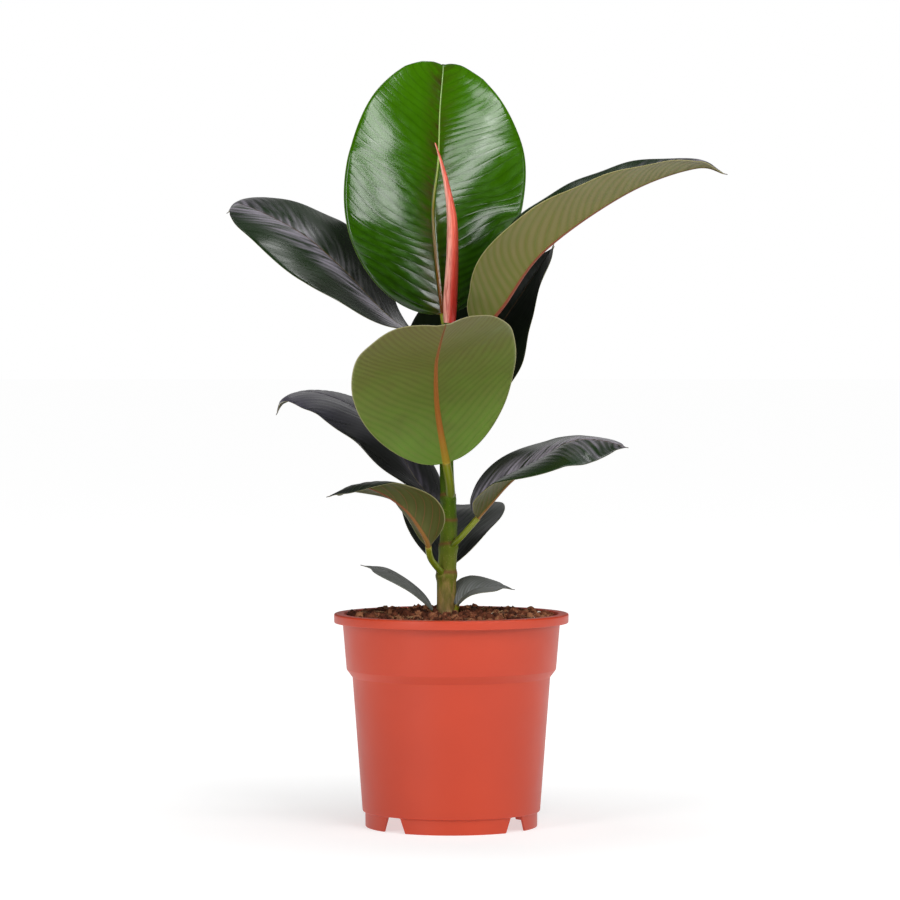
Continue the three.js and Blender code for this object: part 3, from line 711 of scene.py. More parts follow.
# One face of a leaf, with its pattern in millimetres along and across the blade. A waxy
# cuticle lies over green tissue; side veins show as fine lines, the tissue between them as
# soft bands, and the midrib and margin have their own colours.
def leafSkin(name, finish):
    material, tree = newMaterial(name)
    fields = {
        key: addNode(tree, "Attribute", {"attribute_name": key}).outputs["Fac"]
        for key in ("ribMm", "sideMm", "edgeMm", "share", "vein", "ribShare", "opened")
    }
    place = addNode(tree, "CombineXYZ", {}, {"X": fields["ribMm"], "Y": fields["sideMm"]})
    sideways = addNode(tree, "Math", {"operation": "MULTIPLY", 1: 1 / 13}, {0: fields["sideMm"]})
    alongVeins = addNode(tree, "CombineXYZ", {}, {"X": fields["vein"], "Y": sideways})

    # Cloudy patches about 16 mm across, and streaks that run with the side veins.
    blotches = addNode(tree, "TexNoise", {"Scale": 1 / 16, "Detail": 4, "Roughness": 0.6},
                       {"Vector": place})
    streaks = addNode(tree, "TexNoise", {"Scale": finish["grain"], "Detail": 2, "Roughness": 0.5},
                      {"Vector": alongVeins})
    patchy = addNode(tree, "Math", {"operation": "MULTIPLY_ADD", 1: finish["blotch"],
                                    2: -finish["blotch"] / 2}, {0: blotches})
    streaky = addNode(tree, "Math", {"operation": "MULTIPLY_ADD", 1: finish["streak"],
                                     2: -finish["streak"] / 2}, {0: streaks})
    shifted = addNode(tree, "Math", {"operation": "ADD"}, {0: patchy, 1: streaky})
    position = addNode(tree, "Math", {"operation": "ADD"}, {0: fields["share"], 1: shifted})
    tone = addNode(tree, "ValToRGB", {"stops": finish["along"]}, {"Fac": position})

    # Distance from the nearest side vein, 0 on it and 0.5 half way to the next.
    part = addNode(tree, "Math", {"operation": "FRACT"}, {0: fields["vein"]})
    centred = addNode(tree, "Math", {"operation": "SUBTRACT", 1: 0.5}, {0: part})
    offVein = addNode(tree, "Math", {"operation": "ABSOLUTE"}, {0: centred})
    band = addNode(tree, "MapRange", {"interpolation_type": "SMOOTHSTEP", "range": (0.08, 0.42)},
                   {"Value": offVein})
    patched = addNode(tree, "Math", {"operation": "MULTIPLY", 1: finish["band"]}, {0: streaks})
    uneven = addNode(tree, "Math", {"operation": "MULTIPLY"}, {0: band, 1: patched})
    line = addNode(tree, "MapRange", {"interpolation_type": "SMOOTHSTEP",
                                      "range": (0.01, finish["veinWidth"], 1, 0)},
                   {"Value": offVein})
    faint = addNode(tree, "Math", {"operation": "MULTIPLY", 1: finish["vein"]}, {0: line})

    # Beside the midrib lies a tint that runs out along the veins, and may be weaker on one half.
    # On the dark and grey-green waxed upper faces it is a painted lilac-grey sheen; on the young
    # leaf and the undersides it is a darker brown or olive tint.
    away = addNode(tree, "Math", {"operation": "ABSOLUTE"}, {0: fields["sideMm"]})
    reach = addNode(tree, "MapRange", {"interpolation_type": "SMOOTHSTEP",
                                       "range": (0, finish["tintAndSheenReach"], 1, 0)}, {"Value": away})
    ragged = addNode(tree, "MapRange", {"range": (0.35, 0.62, 0.1, finish["tintAndSheen"])},
                     {"Value": streaks})
    streaked = addNode(tree, "Mix", {"data_type": "FLOAT", 0: finish["tintAndSheenBand"], 2: 1}, {3: band})
    tintAndSheenStreaks = addNode(tree, "Math", {"operation": "MULTIPLY"}, {0: ragged, 1: streaked})
    half = addNode(tree, "MapRange", {"range": (-1, 1, finish["tintAndSheenLeft"], finish["tintAndSheenRight"])},
                   {"Value": fields["sideMm"]})
    tintAndSheenSide = addNode(tree, "Math", {"operation": "MULTIPLY"}, {0: reach, 1: half})
    tintAndSheen = addNode(tree, "Math", {"operation": "MULTIPLY"}, {0: tintAndSheenSide, 1: tintAndSheenStreaks})
    ribTone = addNode(tree, "ValToRGB", {"stops": finish["midrib"]}, {"Fac": fields["share"]})
    ribEdge, margin = finish["ribWidth"], finish["marginWidth"]
    onRib = addNode(tree, "MapRange", {"interpolation_type": "SMOOTHSTEP",
                                       "range": (ribEdge, ribEdge + 0.35, finish["rib"], 0)},
                    {"Value": fields["ribShare"]})
    onEdge = addNode(tree, "MapRange", {"interpolation_type": "SMOOTHSTEP",
                                        "range": (margin, 2.2 * margin, finish["margin"], 0)},
                     {"Value": fields["edgeMm"]})
    closed = addNode(tree, "MapRange", {"interpolation_type": "SMOOTHSTEP",
                                        "range": (0.3, 0.8, 1, 0)}, {"Value": fields["opened"]})

    # Tints that lie over the tone, one above the other, the painted sheen by the midrib among them.
    layers = [(uneven, finish["bandColour"]), (faint, finish["veinColour"]),
              (tintAndSheen, finish["tintAndSheenColour"]), (onRib, ribTone),
              (onEdge, finish["marginColour"]), (closed, ribTone)]
    for cover, tint in layers:
        settings, links = {"data_type": "RGBA"}, {0: cover, 6: tone}
        (settings if isinstance(tint, str) else links)[7] = tint
        tone = addNode(tree, "Mix", settings, links)

    fine = addNode(tree, "TexNoise", {"Scale": 0.9, "Detail": 4}, {"Vector": place})
    dullness = finish["roughness"]
    roughness = addNode(tree, "MapRange", {"range": (0.3, 0.7, dullness - 0.05, dullness + 0.08)},
                        {"Value": streaks})
    creased = addNode(tree, "Math", {"operation": "MULTIPLY_ADD", 1: finish["veinRelief"]},
                      {0: line, 2: streaks})
    relief = addNode(tree, "Math", {"operation": "MULTIPLY_ADD", 1: 0.35}, {0: fine, 2: creased})
    addSurface(tree, relief, {"Strength": finish["bump"], "Distance": 0.1 * mm},
               {"IOR": 1.45, "Specular IOR Level": finish["specular"]},
               {"Base Color": tone, "Roughness": roughness})
    return material


# The leaf stalk: smooth, yellow-green at the trunk and redder towards the blade.
def stalkSkin(name, stops):
    material, tree = newMaterial(name)
    along = addNode(tree, "Attribute", {"attribute_name": "ribMm"}).outputs["Fac"]
    part = addNode(tree, "MapRange", {"range": (-26, 4)}, {"Value": along})
    place = addNode(tree, "TexCoord").outputs["Object"]
    grain = addNode(tree, "TexNoise", {"Scale": 0.5 / mm, "Detail": 4}, {"Vector": place})
    swing = addNode(tree, "Math", {"operation": "MULTIPLY_ADD", 1: 0.4, 2: -0.2}, {0: grain})
    position = addNode(tree, "Math", {"operation": "ADD"}, {0: part, 1: swing})
    tone = addNode(tree, "ValToRGB", {"stops": stops}, {"Fac": position})
    addSurface(tree, grain, {"Strength": 0.2, "Distance": 0.2 * mm},
               {"IOR": 1.45, "Roughness": 0.36}, {"Base Color": tone})
    return material


# Small dry matter, such as a shrivelled leaf tip, bark or fibre: dull and mottled.
def bitSkin(name, stops, roughness):
    material, tree = newMaterial(name)
    place = addNode(tree, "TexCoord").outputs["Object"]
    fine = addNode(tree, "TexNoise", {"Scale": 1.1 / mm, "Detail": 4}, {"Vector": place})
    tone = addNode(tree, "ValToRGB", {"stops": stops}, {"Fac": fine})
    addSurface(tree, fine, {"Strength": 0.6, "Distance": 0.3 * mm},
               {"IOR": 1.45, "Roughness": roughness}, {"Base Color": tone})
    return material


# Upper faces are cutin-waxed and glossy: dark leaves mirror the lamps as a lilac-grey sheen,
# and more lilac-grey sheen is painted into their colour beside the midrib.
darkUpper = {
    "along": [(0.0, "#151a10"), (0.4, "#11180c"), (0.8, "#141c12"), (1.0, "#14180f")],
    "blotch": 0.35, "streak": 0.25, "grain": 0.9, "band": 0.3, "bandColour": "#1c211c",
    "veinColour": "#0c0f09", "vein": 0.2, "veinWidth": 0.09, "veinRelief": -0.3,
    "tintAndSheen": 0.5, "tintAndSheenBand": 0.6, "tintAndSheenReach": 14, "tintAndSheenColour": "#302d33",
    "tintAndSheenLeft": 1, "tintAndSheenRight": 1,
    "midrib": [(0.0, "#75722f"), (0.3, "#6e5534"), (1.0, "#4a322c")], "rib": 0.9,
    "ribWidth": 0.35, "margin": 0.3, "marginColour": "#4a4a3a", "marginWidth": 0.2,
    "roughness": 0.34, "specular": 0.08, "bump": 0.12,
}
# The green upper face has a pale lilac-grey sheen painted beside its midrib, weaker on one half.
greenUpper = dict(darkUpper, along=[(0.0, "#303032"), (0.3, "#20281b"), (0.5, "#182b10"),
                                    (0.8, "#1d3117"), (1.0, "#182214")],
                  bandColour="#223422", veinColour="#11190e", tintAndSheen=2, tintAndSheenBand=0.6,
                  tintAndSheenReach=25, tintAndSheenColour="#928b98", tintAndSheenRight=0.4, specular=0.45,
                  roughness=0.25)
# The purple upper face grows lighter and lilac towards its tip: a painted lilac sheen.
purpleUpper = dict(greenUpper, along=[(0.0, "#10130d"), (0.35, "#141713"), (0.65, "#33323b"),
                                      (1.0, "#625e6e")],
                   bandColour="#2a2a32", veinColour="#0e0f11", tintAndSheenReach=14, tintAndSheen=1.0,
                   tintAndSheenColour="#5c5664", tintAndSheenRight=1, bump=0.05, roughness=0.3,
                   streak=0.3, vein=0.6, veinWidth=0.13,
                   midrib=[(0.0, "#7d7a3a"), (0.3, "#56524c"), (1.0, "#433f42")])
# The small leaves' light grey tones are a painted sheen.
greySheenUpper = dict(purpleUpper, along=[(0.0, "#4a4e46"), (0.5, "#626562"), (1.0, "#5c5f5c")],
                  bandColour="#757876", veinColour="#3a3e38", tintAndSheenColour="#7c7e80", roughness=0.4)
shadedUpper = dict(darkUpper, along=[(0.0, "#222523"), (0.5, "#1c2419"), (1.0, "#162010")],
                   bandColour="#1e281c", veinColour="#5a6058", vein=0.55, veinWidth=0.06,
                   tintAndSheen=0.9, tintAndSheenReach=22, tintAndSheenColour="#3c3a42", specular=0.2)
# The young leaf darkens towards its stalk: painted shade over the foot of its blade.
youngUpper = {
    "along": [(0.0, "#142a00"), (0.25, "#204202"), (0.6, "#305c02"), (1.0, "#3c6e04")],
    "blotch": 0.4, "streak": 0.25, "grain": 1.5, "band": 0.3, "bandColour": "#3c7206",
    "veinColour": "#132a03", "vein": 0.2, "veinWidth": 0.16, "veinRelief": -0.4,
    "tintAndSheen": 1.0, "tintAndSheenBand": 0.3, "tintAndSheenReach": 15, "tintAndSheenColour": "#38300c",
    "tintAndSheenLeft": 1, "tintAndSheenRight": 0.6,
    "midrib": [(0.0, "#7c3f1c"), (0.4, "#7a6a22"), (0.58, "#93ab55"), (1.0, "#a8c488")],
    "rib": 0.95, "ribWidth": 0.55, "margin": 0.5, "marginColour": "#7f9850", "marginWidth": 0.2,
    "roughness": 0.13, "specular": 0.5, "bump": 0.45,
}

# Undersides are dull olive: bare of wax, browner towards the tip, with raised veins. The broad
# underside is greener towards its stalk, where light shining through the blade is painted.
broadUnder = {
    "along": [(0.0, "#5f7f28"), (0.3, "#596b28"), (0.6, "#5b5e2b"), (1.0, "#5c542e")],
    "blotch": 0.5, "streak": 0.25, "grain": 1.1, "band": 0.5, "bandColour": "#6f7838",
    "veinColour": "#4c571f", "vein": 0.2, "veinWidth": 0.1, "veinRelief": 1.0,
    "tintAndSheen": 0.3, "tintAndSheenBand": 0.2, "tintAndSheenReach": 8, "tintAndSheenColour": "#68642c",
    "tintAndSheenLeft": 1, "tintAndSheenRight": 1,
    "midrib": [(0.0, "#9a8020"), (0.15, "#9c6026"), (0.6, "#8c5228"), (1.0, "#664420")],
    "rib": 1.0, "ribWidth": 0.85, "margin": 0.6, "marginColour": "#a29c70", "marginWidth": 0.3,
    "roughness": 0.5, "specular": 0.25, "bump": 0.3,
}
archedUnder = dict(broadUnder, along=[(0.0, "#5e6522"), (0.4, "#67642a"), (0.8, "#5c5b2c"),
                                      (1.0, "#40391f")],
                   band=0.6, bandColour="#857650", veinColour="#566826", vein=0.4, streak=0.35,
                   ribWidth=0.6,
                   midrib=[(0.0, "#84402a"), (0.4, "#783c26"), (0.8, "#60382a"), (1.0, "#4a3020")])
dullUnder = dict(archedUnder, along=[(0.0, "#46491c"), (0.5, "#43471c"), (1.0, "#3a3e20")],
                 band=0.35, bandColour="#565a30", veinColour="#774830", vein=0.8, veinWidth=0.05,
                 midrib=[(0.0, "#85602a"), (0.5, "#7a4526"), (1.0, "#4a3020")])
youngUnder = dict(broadUnder, along=[(0.0, "#6f9a34"), (0.6, "#7aa044"), (1.0, "#76903c")],
                  bandColour="#86a850", veinColour="#98b86a")


def makeLeaves():
    stalk = stalkSkin("smoothLeafStalk", [(0.0, "#5f7010"), (0.8, "#7c8414"), (1.0, "#906a28")])
    dry = bitSkin("driedLeafTip", [(0.3, "#33281c"), (0.7, "#4d4432")], 0.6)
    finishes = {"dark": darkUpper, "shaded": shadedUpper, "green": greenUpper,
                "purple": purpleUpper, "small": greySheenUpper}
    uppers = {key: leafSkin(key + "WaxedUpper", finish) for key, finish in finishes.items()}
    dull = leafSkin("dullUnderside", dullUnder)
    skins = {key: [upper, dull] for key, upper in uppers.items()}
    skins["arched"] = [uppers["green"], leafSkin("archedUnderside", archedUnder)]
    skins["broad"] = [uppers["green"], leafSkin("broadUnderside", broadUnder)]
    skins["young"] = [leafSkin("youngWaxedUpper", youngUpper),
                      leafSkin("youngUnderside", youngUnder)]
    for number, leaf in enumerate(leaves):
        makeLeaf(leaf, number, skins[leaf["kind"]] + [stalk, dry])


makeLeaves()
print("leaves made")


# Height above the ring scar that a leaf's stipule has left, which slants round the trunk.
def aboveScar(leaf, height, angle):
    scar = trunk["scar"]
    direction = leafDirection(leaf, leaf["node"])
    return height - leaf["node"] - scar["above"] - scar["slant"] * np.cos(angle - direction)


# Trunk surface: a swelling at each leaf's foot and a thin ring scar just above it.
def trunkSwelling(height, angle):
    cushion, scar = trunk["cushion"], trunk["scar"]
    total = 0
    for leaf in leaves:
        rise = (height - leaf["node"] - cushion["above"]) / cushion["height"]
        towards = np.clip(np.cos(angle - leafDirection(leaf, leaf["node"])), 0, None) ** 2
        total = total + cushion["swell"] * np.exp(-rise**2) * mix(cushion["allRound"], 1, towards)
        ring = aboveScar(leaf, height, angle) / scar["ridgeWidth"]
        total = total + scar["ridge"] * np.exp(-(ring**2))
    return total


# Young bark: green above and corky brown at its foot, speckled, blotched darker, and dull.
# Each ring scar is a thin brown line.
def trunkSkin():
    material, tree = newMaterial("youngBark")
    height = addNode(tree, "Attribute", {"attribute_name": "heightMm"}).outputs["Fac"]
    scar = addNode(tree, "Attribute", {"attribute_name": "scar"}).outputs["Fac"]
    place = addNode(tree, "TexCoord").outputs["Object"]
    stretched = addNode(tree, "Mapping", {"Scale": (1, 1, 0.35)}, {"Vector": place})
    grain = addNode(tree, "TexNoise", {"Scale": 0.42 / mm, "Detail": 5, "Roughness": 0.65},
                    {"Vector": stretched})
    part = addNode(tree, "MapRange", {"range": (120, 300)}, {"Value": height})
    swing = addNode(tree, "Math", {"operation": "MULTIPLY_ADD", 1: 0.3, 2: -0.15}, {0: grain})
    position = addNode(tree, "Math", {"operation": "ADD"}, {0: part, 1: swing})
    tone = addNode(tree, "ValToRGB", {"stops": [(0.0, "#b08a66"), (0.07, "#967a48"),
                                                (0.16, "#62661c"), (0.42, "#4c6a02"),
                                                (1.0, "#426000")]}, {"Fac": position})
    specks = addNode(tree, "TexVoronoi", {"Scale": 0.7 / mm}, {"Vector": place})
    dots = addNode(tree, "MapRange", {"range": (0.12, 0.3, 0.5, 0)}, {"Value": specks})
    speckled = addNode(tree, "Mix", {"data_type": "RGBA", 7: "#8f8448"}, {0: dots, 6: tone})
    patches = addNode(tree, "TexNoise", {"Scale": 0.13 / mm, "Detail": 4, "Roughness": 0.6},
                      {"Vector": stretched})
    shade = addNode(tree, "MapRange", {"range": (0.45, 0.65, 0, 0.7)}, {"Value": patches})
    shaded = addNode(tree, "Mix", {"data_type": "RGBA", 7: "#3a4a12"}, {0: shade, 6: speckled})
    scarred = addNode(tree, "Mix", {"data_type": "RGBA", 7: "#6c4526"}, {0: scar, 6: shaded})
    addSurface(tree, grain, {"Strength": 0.5, "Distance": 0.3 * mm},
               {"IOR": 1.45, "Roughness": 0.5, "Specular IOR Level": 0.15}, {"Base Color": scarred})
    return material


def roundLump(detail):
    form = bmesh.new()
    bmesh.ops.create_icosphere(form, subdivisions=detail, radius=1)
    points = np.array([v.co[:] for v in form.verts])
    faces = [[v.index for v in face.verts] for face in form.faces]
    form.free()
    return points, faces


def makeTrunk():
    low, high = trunk["rows"][0][0], trunk["rows"][-1][0]
    heights = np.arange(low, high + 0.01, trunk["ringEvery"])
    angles = roundAngles(trunk["sides"])
    lean, radius = trunkAt(heights)
    rows = heights[:, None]
    furrow = sum(depth * np.sin(count * angles + rows / slope)
                 for depth, count, slope in trunk["furrows"])
    size = radius[:, None] + trunkSwelling(rows, angles) + furrow
    points, faces, heightMm = tube(heights, lean, size, angles)
    tint, width = trunk["scar"]["tint"], trunk["scar"]["tintWidth"]
    scar = np.zeros_like(size)
    for leaf in leaves:
        ring = aboveScar(leaf, rows, angles) / width
        scar = np.maximum(scar, tint * np.exp(-(ring**2)))
    fields = {"heightMm": heightMm, "scar": np.concatenate([scar.ravel(), [0, 0]])}
    newPiece("trunkWood", points, faces, [trunkSkin()], ["stem"], None, fields)


# A small pointed bud sits on the trunk above each leaf stalk but the two lowest.

budForm = {"above": 5, "depth": 1.0, "width": 1.2, "height": 2.2, "taper": 0.35, "lean": 0.4,
           "standOff": 0.5}


def makeBuds():
    ball, ballFaces = roundLump(2)
    form = budForm
    points, faces = [], []
    for leaf in leaves[2:]:
        height = leaf["node"] + form["above"]
        lean, radius = trunkAt(height)
        direction = leafDirection(leaf, height)
        out = np.array([math.cos(direction), math.sin(direction), 0])
        side = np.array([-out[1], out[0], 0])
        taper = (1 - form["taper"] * ball[:, 2])[:, None]
        bud = (ball[:, :1] * out * form["depth"] + ball[:, 1:2] * side * form["width"]) * taper
        bud = bud + ball[:, 2:] * (np.array([0, 0, form["height"]]) + form["lean"] * out)
        root = out * (float(radius) + form["standOff"]) + np.array([float(lean), 0, height])
        faces += [[len(ball) * len(points) + corner for corner in face] for face in ballFaces]
        points.append(bud + root)
    husk = bitSkin("budScale", [(0.3, "#2c1d12"), (0.7, "#5a3420")], 0.5)
    newPiece("axilBuds", np.concatenate(points), faces, [husk])


makeTrunk()
makeBuds()
print("trunk made")

# Bud sheath, a rolled red stipule: rows of height, lean and radius, and at the foot height
# and radius. Its outer edge is a seam that winds up it.

sheath = {
    "sides": 72,
    "ringEvery": 0.8,
    "ridges": 9,
    "ridgeHeight": 0.05,
    "seamAngle": -115,
    "seamHeight": 0.28,
    "seamEdge": 0.03,
    "twist": 160,
    "meanRadius": 3.5,
    "highlightSide": 205,
    "foot": (299.2, 3.0),
    "smoothing": 4,
    "sharpTip": (407.5, 8),
    "rows": [
        (300.3, -1.0, 3.3), (306, -0.9, 4.1), (314, -0.7, 4.2), (328, 0.1, 3.9),
        (340, 0.6, 3.5), (352, 0.7, 3.3), (362, 0.4, 3.0), (372, -0.9, 2.3),
        (380, -2.4, 1.8), (388, -4.0, 1.4), (398, -6.7, 0.8), (407, -9.6, 0.3),
    ],
}


# The rolled stipule: satin red that lets a little light through, with a painted highlight on
# the side that faces the left-front lamp, and dark stripes that fade towards its tip.
def sheathSkin():
    material, tree = newMaterial("rolledStipule")
    height = addNode(tree, "Attribute", {"attribute_name": "heightMm"}).outputs["Fac"]
    highlightFacing = addNode(tree, "Attribute", {"attribute_name": "turn"}).outputs["Fac"]
    place = addNode(tree, "TexCoord").outputs["Object"]
    stretched = addNode(tree, "Mapping", {"Scale": (1, 1, 0.08)}, {"Vector": place})
    streaks = addNode(tree, "TexNoise", {"Scale": 0.7 / mm, "Detail": 4, "Roughness": 0.6},
                      {"Vector": stretched})
    part = addNode(tree, "MapRange", {"range": (300, 407)}, {"Value": height})
    swing = addNode(tree, "Math", {"operation": "MULTIPLY_ADD", 1: 0.9, 2: -0.45}, {0: streaks})
    position = addNode(tree, "Math", {"operation": "ADD"}, {0: part, 1: swing})
    tone = addNode(tree, "ValToRGB", {"stops": [(0.0, "#b82a20"), (0.15, "#d04030"),
                                                (0.4, "#e6604a"), (0.75, "#e2624a"),
                                                (1.0, "#cc5038")]}, {"Fac": position})
    # Paler on the side that faces the left-front lamp: a painted highlight.
    light = addNode(tree, "MapRange", {"range": (0.65, 1.0, 0, 0.9)}, {"Value": highlightFacing})
    paleHighlight = addNode(tree, "Mix", {"data_type": "RGBA", 7: "#f6b8a4"}, {0: light, 6: tone})
    fading = addNode(tree, "MapRange", {"range": (300, 390, 0.75, 0.3)}, {"Value": height})
    marks = addNode(tree, "MapRange", {"interpolation_type": "SMOOTHSTEP", "range": (0.46, 0.6)},
                    {"Value": streaks})
    marked = addNode(tree, "Math", {"operation": "MULTIPLY"}, {0: marks, 1: fading})
    striped = addNode(tree, "Mix", {"data_type": "RGBA", 7: "#a8281e"}, {0: marked, 6: paleHighlight})
    addSurface(tree, streaks, {"Strength": 0.3, "Distance": 0.2 * mm},
               {"IOR": 1.45, "Roughness": 0.38, "Subsurface Weight": 0.15,
                "Subsurface Radius": (2 * mm, 0.8 * mm, 0.5 * mm)}, {"Base Color": striped})
    return material


def makeSheath():
    rows = sheath["rows"]
    low, high = rows[0][0], rows[-1][0]
    footHeight, footRadius = sheath["foot"]
    heights = np.concatenate([[footHeight], np.arange(low, high, sheath["ringEvery"]), [high]])
    tip, run = sheath["sharpTip"]
    reach = np.linspace(-sheath["smoothing"], sheath["smoothing"], 9)
    around = heights[:, None] + reach * np.clip((tip - heights[:, None]) / run, 0.05, 1)
    lean, radius = fromRows(rows, around)
    radius[0] = footRadius
    angles = roundAngles(sheath["sides"])
    turned = angles - math.radians(sheath["seamAngle"]) - heights[:, None] / sheath["twist"]
    share = (turned / (2 * math.pi)) % 1
    overlap = sheath["seamHeight"] * (share - 0.5) * smoothStep(share, 0, sheath["seamEdge"])
    ridge = sheath["ridgeHeight"] * np.sin(sheath["ridges"] * 2 * math.pi * share)
    size = radius[:, None] * (1 + (overlap + ridge) / sheath["meanRadius"])
    points, faces, heightMm = tube(heights, lean, size, angles)
    # How far each point turns towards the side of the painted highlight.
    highlightFacing = (1 + np.cos(angles - math.radians(sheath["highlightSide"]))) / 2 + 0 * heights[:, None]
    fields = {"heightMm": heightMm, "turn": np.concatenate([highlightFacing.ravel(), [0, 0]])}
    newPiece("budSheath", points, faces, [sheathSkin()], ["bud_sheath"],
             None, fields)


makeSheath()
print("bud sheath made")

# Peat: level with the rim round the trunk, lower at the wall, with crumbs on top.

soil = {
    "segments": 240,
    "rings": 60,
    "topAtTrunk": 126.2,
    "topAtWall": 123.8,
    "edge": 63.7,
    "lump": 1.5,
    "waves": [(0.21, 0.09, 1.3), (-0.13, 0.24, 0.4), (0.34, -0.29, 2.1), (0.08, -0.4, 4.2)],
    "grit": 0.8,
    "gritSize": 2.1,
    "side": [(50, 11.2), (51.3, 12.6), (57.4, 89), (60.4, 94), (61, 95.4)],
    "oddness": 0.35,
    "spots": {"half": 64, "radius": 63.5, "trunkLean": -2.9, "trunkRadius": 5.5},
    "sunk": 0.45,
}

# What lies on the peat. Sizes are radii, and stretch is how far a lump may be squeezed.

crumbs = {"count": 1900, "sizes": (0.6, 3.2), "stretch": (0.7, 0.8, 0.6), "rough": 0.5}
chips = {"count": 130, "sizes": (1.2, 3.2), "stretch": (0.35, 1.2, 0.25), "rough": 0.35}
perlite = {"count": 90, "sizes": (0.5, 1.4), "stretch": (0.8, 0.9, 0.8), "rough": 0.35}
fibres = {"count": 320, "lengths": (5, 14), "radius": 0.24, "bend": 2.2, "wobble": 0.25,
          "lift": (0.3, 1.6), "thickness": (0.6, 1.4), "edge": 62.5, "sides": 5, "steps": 9}


def soilTop(x, y):
    out = min(1, math.hypot(x, y) / pot["bandTopRadius"])
    lumps = sum(math.sin(a * x + b * y + phase) for a, b, phase in soil["waves"])
    level = mix(soil["topAtTrunk"], soil["topAtWall"], out * out)
    return level + soil["lump"] * lumps / len(soil["waves"])


# Moist peat: dark brown and dull, where each crumb is a little lighter or darker.
def soilSkin():
    material, tree = newMaterial("moistPeat")
    place = addNode(tree, "TexCoord").outputs["Object"]
    odd = addNode(tree, "Attribute", {"attribute_name": "odd"}).outputs["Fac"]
    fine = addNode(tree, "TexNoise", {"Scale": 0.9 / mm, "Detail": 6, "Roughness": 0.7},
                   {"Vector": place})
    mixed = addNode(tree, "Math", {"operation": "MULTIPLY_ADD", 1: 0.55}, {0: odd, 2: fine})
    tone = addNode(tree, "ValToRGB", {"stops": [(0.3, "#241009"), (0.55, "#482416"),
                                                (0.85, "#743f2a"), (1.0, "#9c6848")]},
                   {"Fac": mixed})
    addSurface(tree, fine, {"Strength": 0.8, "Distance": 0.5 * mm},
               {"IOR": 1.4, "Roughness": 0.9, "Specular IOR Level": 0.3}, {"Base Color": tone})
    return material


def turnMatrix():
    a, b, c = shake.uniform(0, 2 * math.pi, 3)
    about = np.array([[math.cos(a), -math.sin(a), 0], [math.sin(a), math.cos(a), 0], [0, 0, 1]])
    tilt = np.array([[1, 0, 0], [0, math.cos(b), -math.sin(b)], [0, math.sin(b), math.cos(b)]])
    again = np.array([[math.cos(c), -math.sin(c), 0], [math.sin(c), math.cos(c), 0], [0, 0, 1]])
    return about @ tilt @ again


# A random spot on the peat, clear of the wall and the trunk.
def spotOnSoil(margin):
    spots = soil["spots"]
    while True:
        x, y = shake.uniform(-spots["half"], spots["half"], 2)
        inside = math.hypot(x, y) < spots["radius"] - margin
        if inside and math.hypot(x - spots["trunkLean"], y) > spots["trunkRadius"] + margin:
            return x, y


def scatterBits(name, kind, material, detail=1):
    base, baseFaces = roundLump(detail)
    points, faces, odd = [], [], []
    for bit in range(kind["count"]):
        size = mix(*kind["sizes"], shake.random() ** 2.2)
        x, y = spotOnSoil(size)
        squeeze = np.array([mix(1, stretch, shake.random()) for stretch in kind["stretch"]])
        dent = 1 + kind["rough"] * (shake.random(len(base)) - 0.5)
        lump = (base * dent[:, None] * squeeze * size) @ turnMatrix().T
        points.append(lump + np.array([x, y, soilTop(x, y) + soil["sunk"] * size]))
        faces += [[bit * len(base) + corner for corner in face] for face in baseFaces]
        odd.append(np.full(len(base), shake.random()))
    fields = {"odd": np.concatenate(odd)}
    newPiece(name, np.concatenate(points), faces, [material], (), None, fields)


def scatterFibres(name, kind, material):
    steps = kind["steps"]
    points, faces = [], []
    for fibre in range(kind["count"]):
        length = shake.uniform(*kind["lengths"])
        x, y = spotOnSoil(3)
        heading = shake.uniform(0, 2 * math.pi)
        bend = shake.uniform(-kind["bend"], kind["bend"]) / length
        centre = []
        for step in range(steps):
            centre.append((x, y))
            x += length / steps * math.cos(heading)
            y += length / steps * math.sin(heading)
            heading += bend * length / steps + shake.uniform(-kind["wobble"], kind["wobble"])
        if any(math.hypot(*c) > kind["edge"] for c in centre):
            continue
        lift = shake.uniform(*kind["lift"])
        thick = kind["radius"] * shake.uniform(*kind["thickness"])
        rings = []
        for step, (cx, cy) in enumerate(centre):
            t = step / (steps - 1)
            nx, ny = centre[min(step + 1, steps - 1)]
            px, py = centre[max(step - 1, 0)]
            ahead = unit(np.array([nx - px, ny - py, 0.0]))
            across = np.array([-ahead[1], ahead[0], 0])
            middle = np.array([cx, cy, soilTop(cx, cy) + 0.3 + lift * math.sin(math.pi * t)])
            r = thick * (0.35 + 0.65 * math.sin(math.pi * min(1, 0.15 + 0.8 * t)))
            rings.append([middle + r * (math.cos(u) * across + math.sin(u) * np.array([0, 0, 1]))
                          for u in roundAngles(kind["sides"])])
        strand, strandFaces = loftPoints(np.array(rings))
        first = len(points) * len(strand)
        points.append(strand)
        faces += [[first + corner for corner in face] for face in strandFaces]
    newPiece(name, np.concatenate(points), faces, [material])


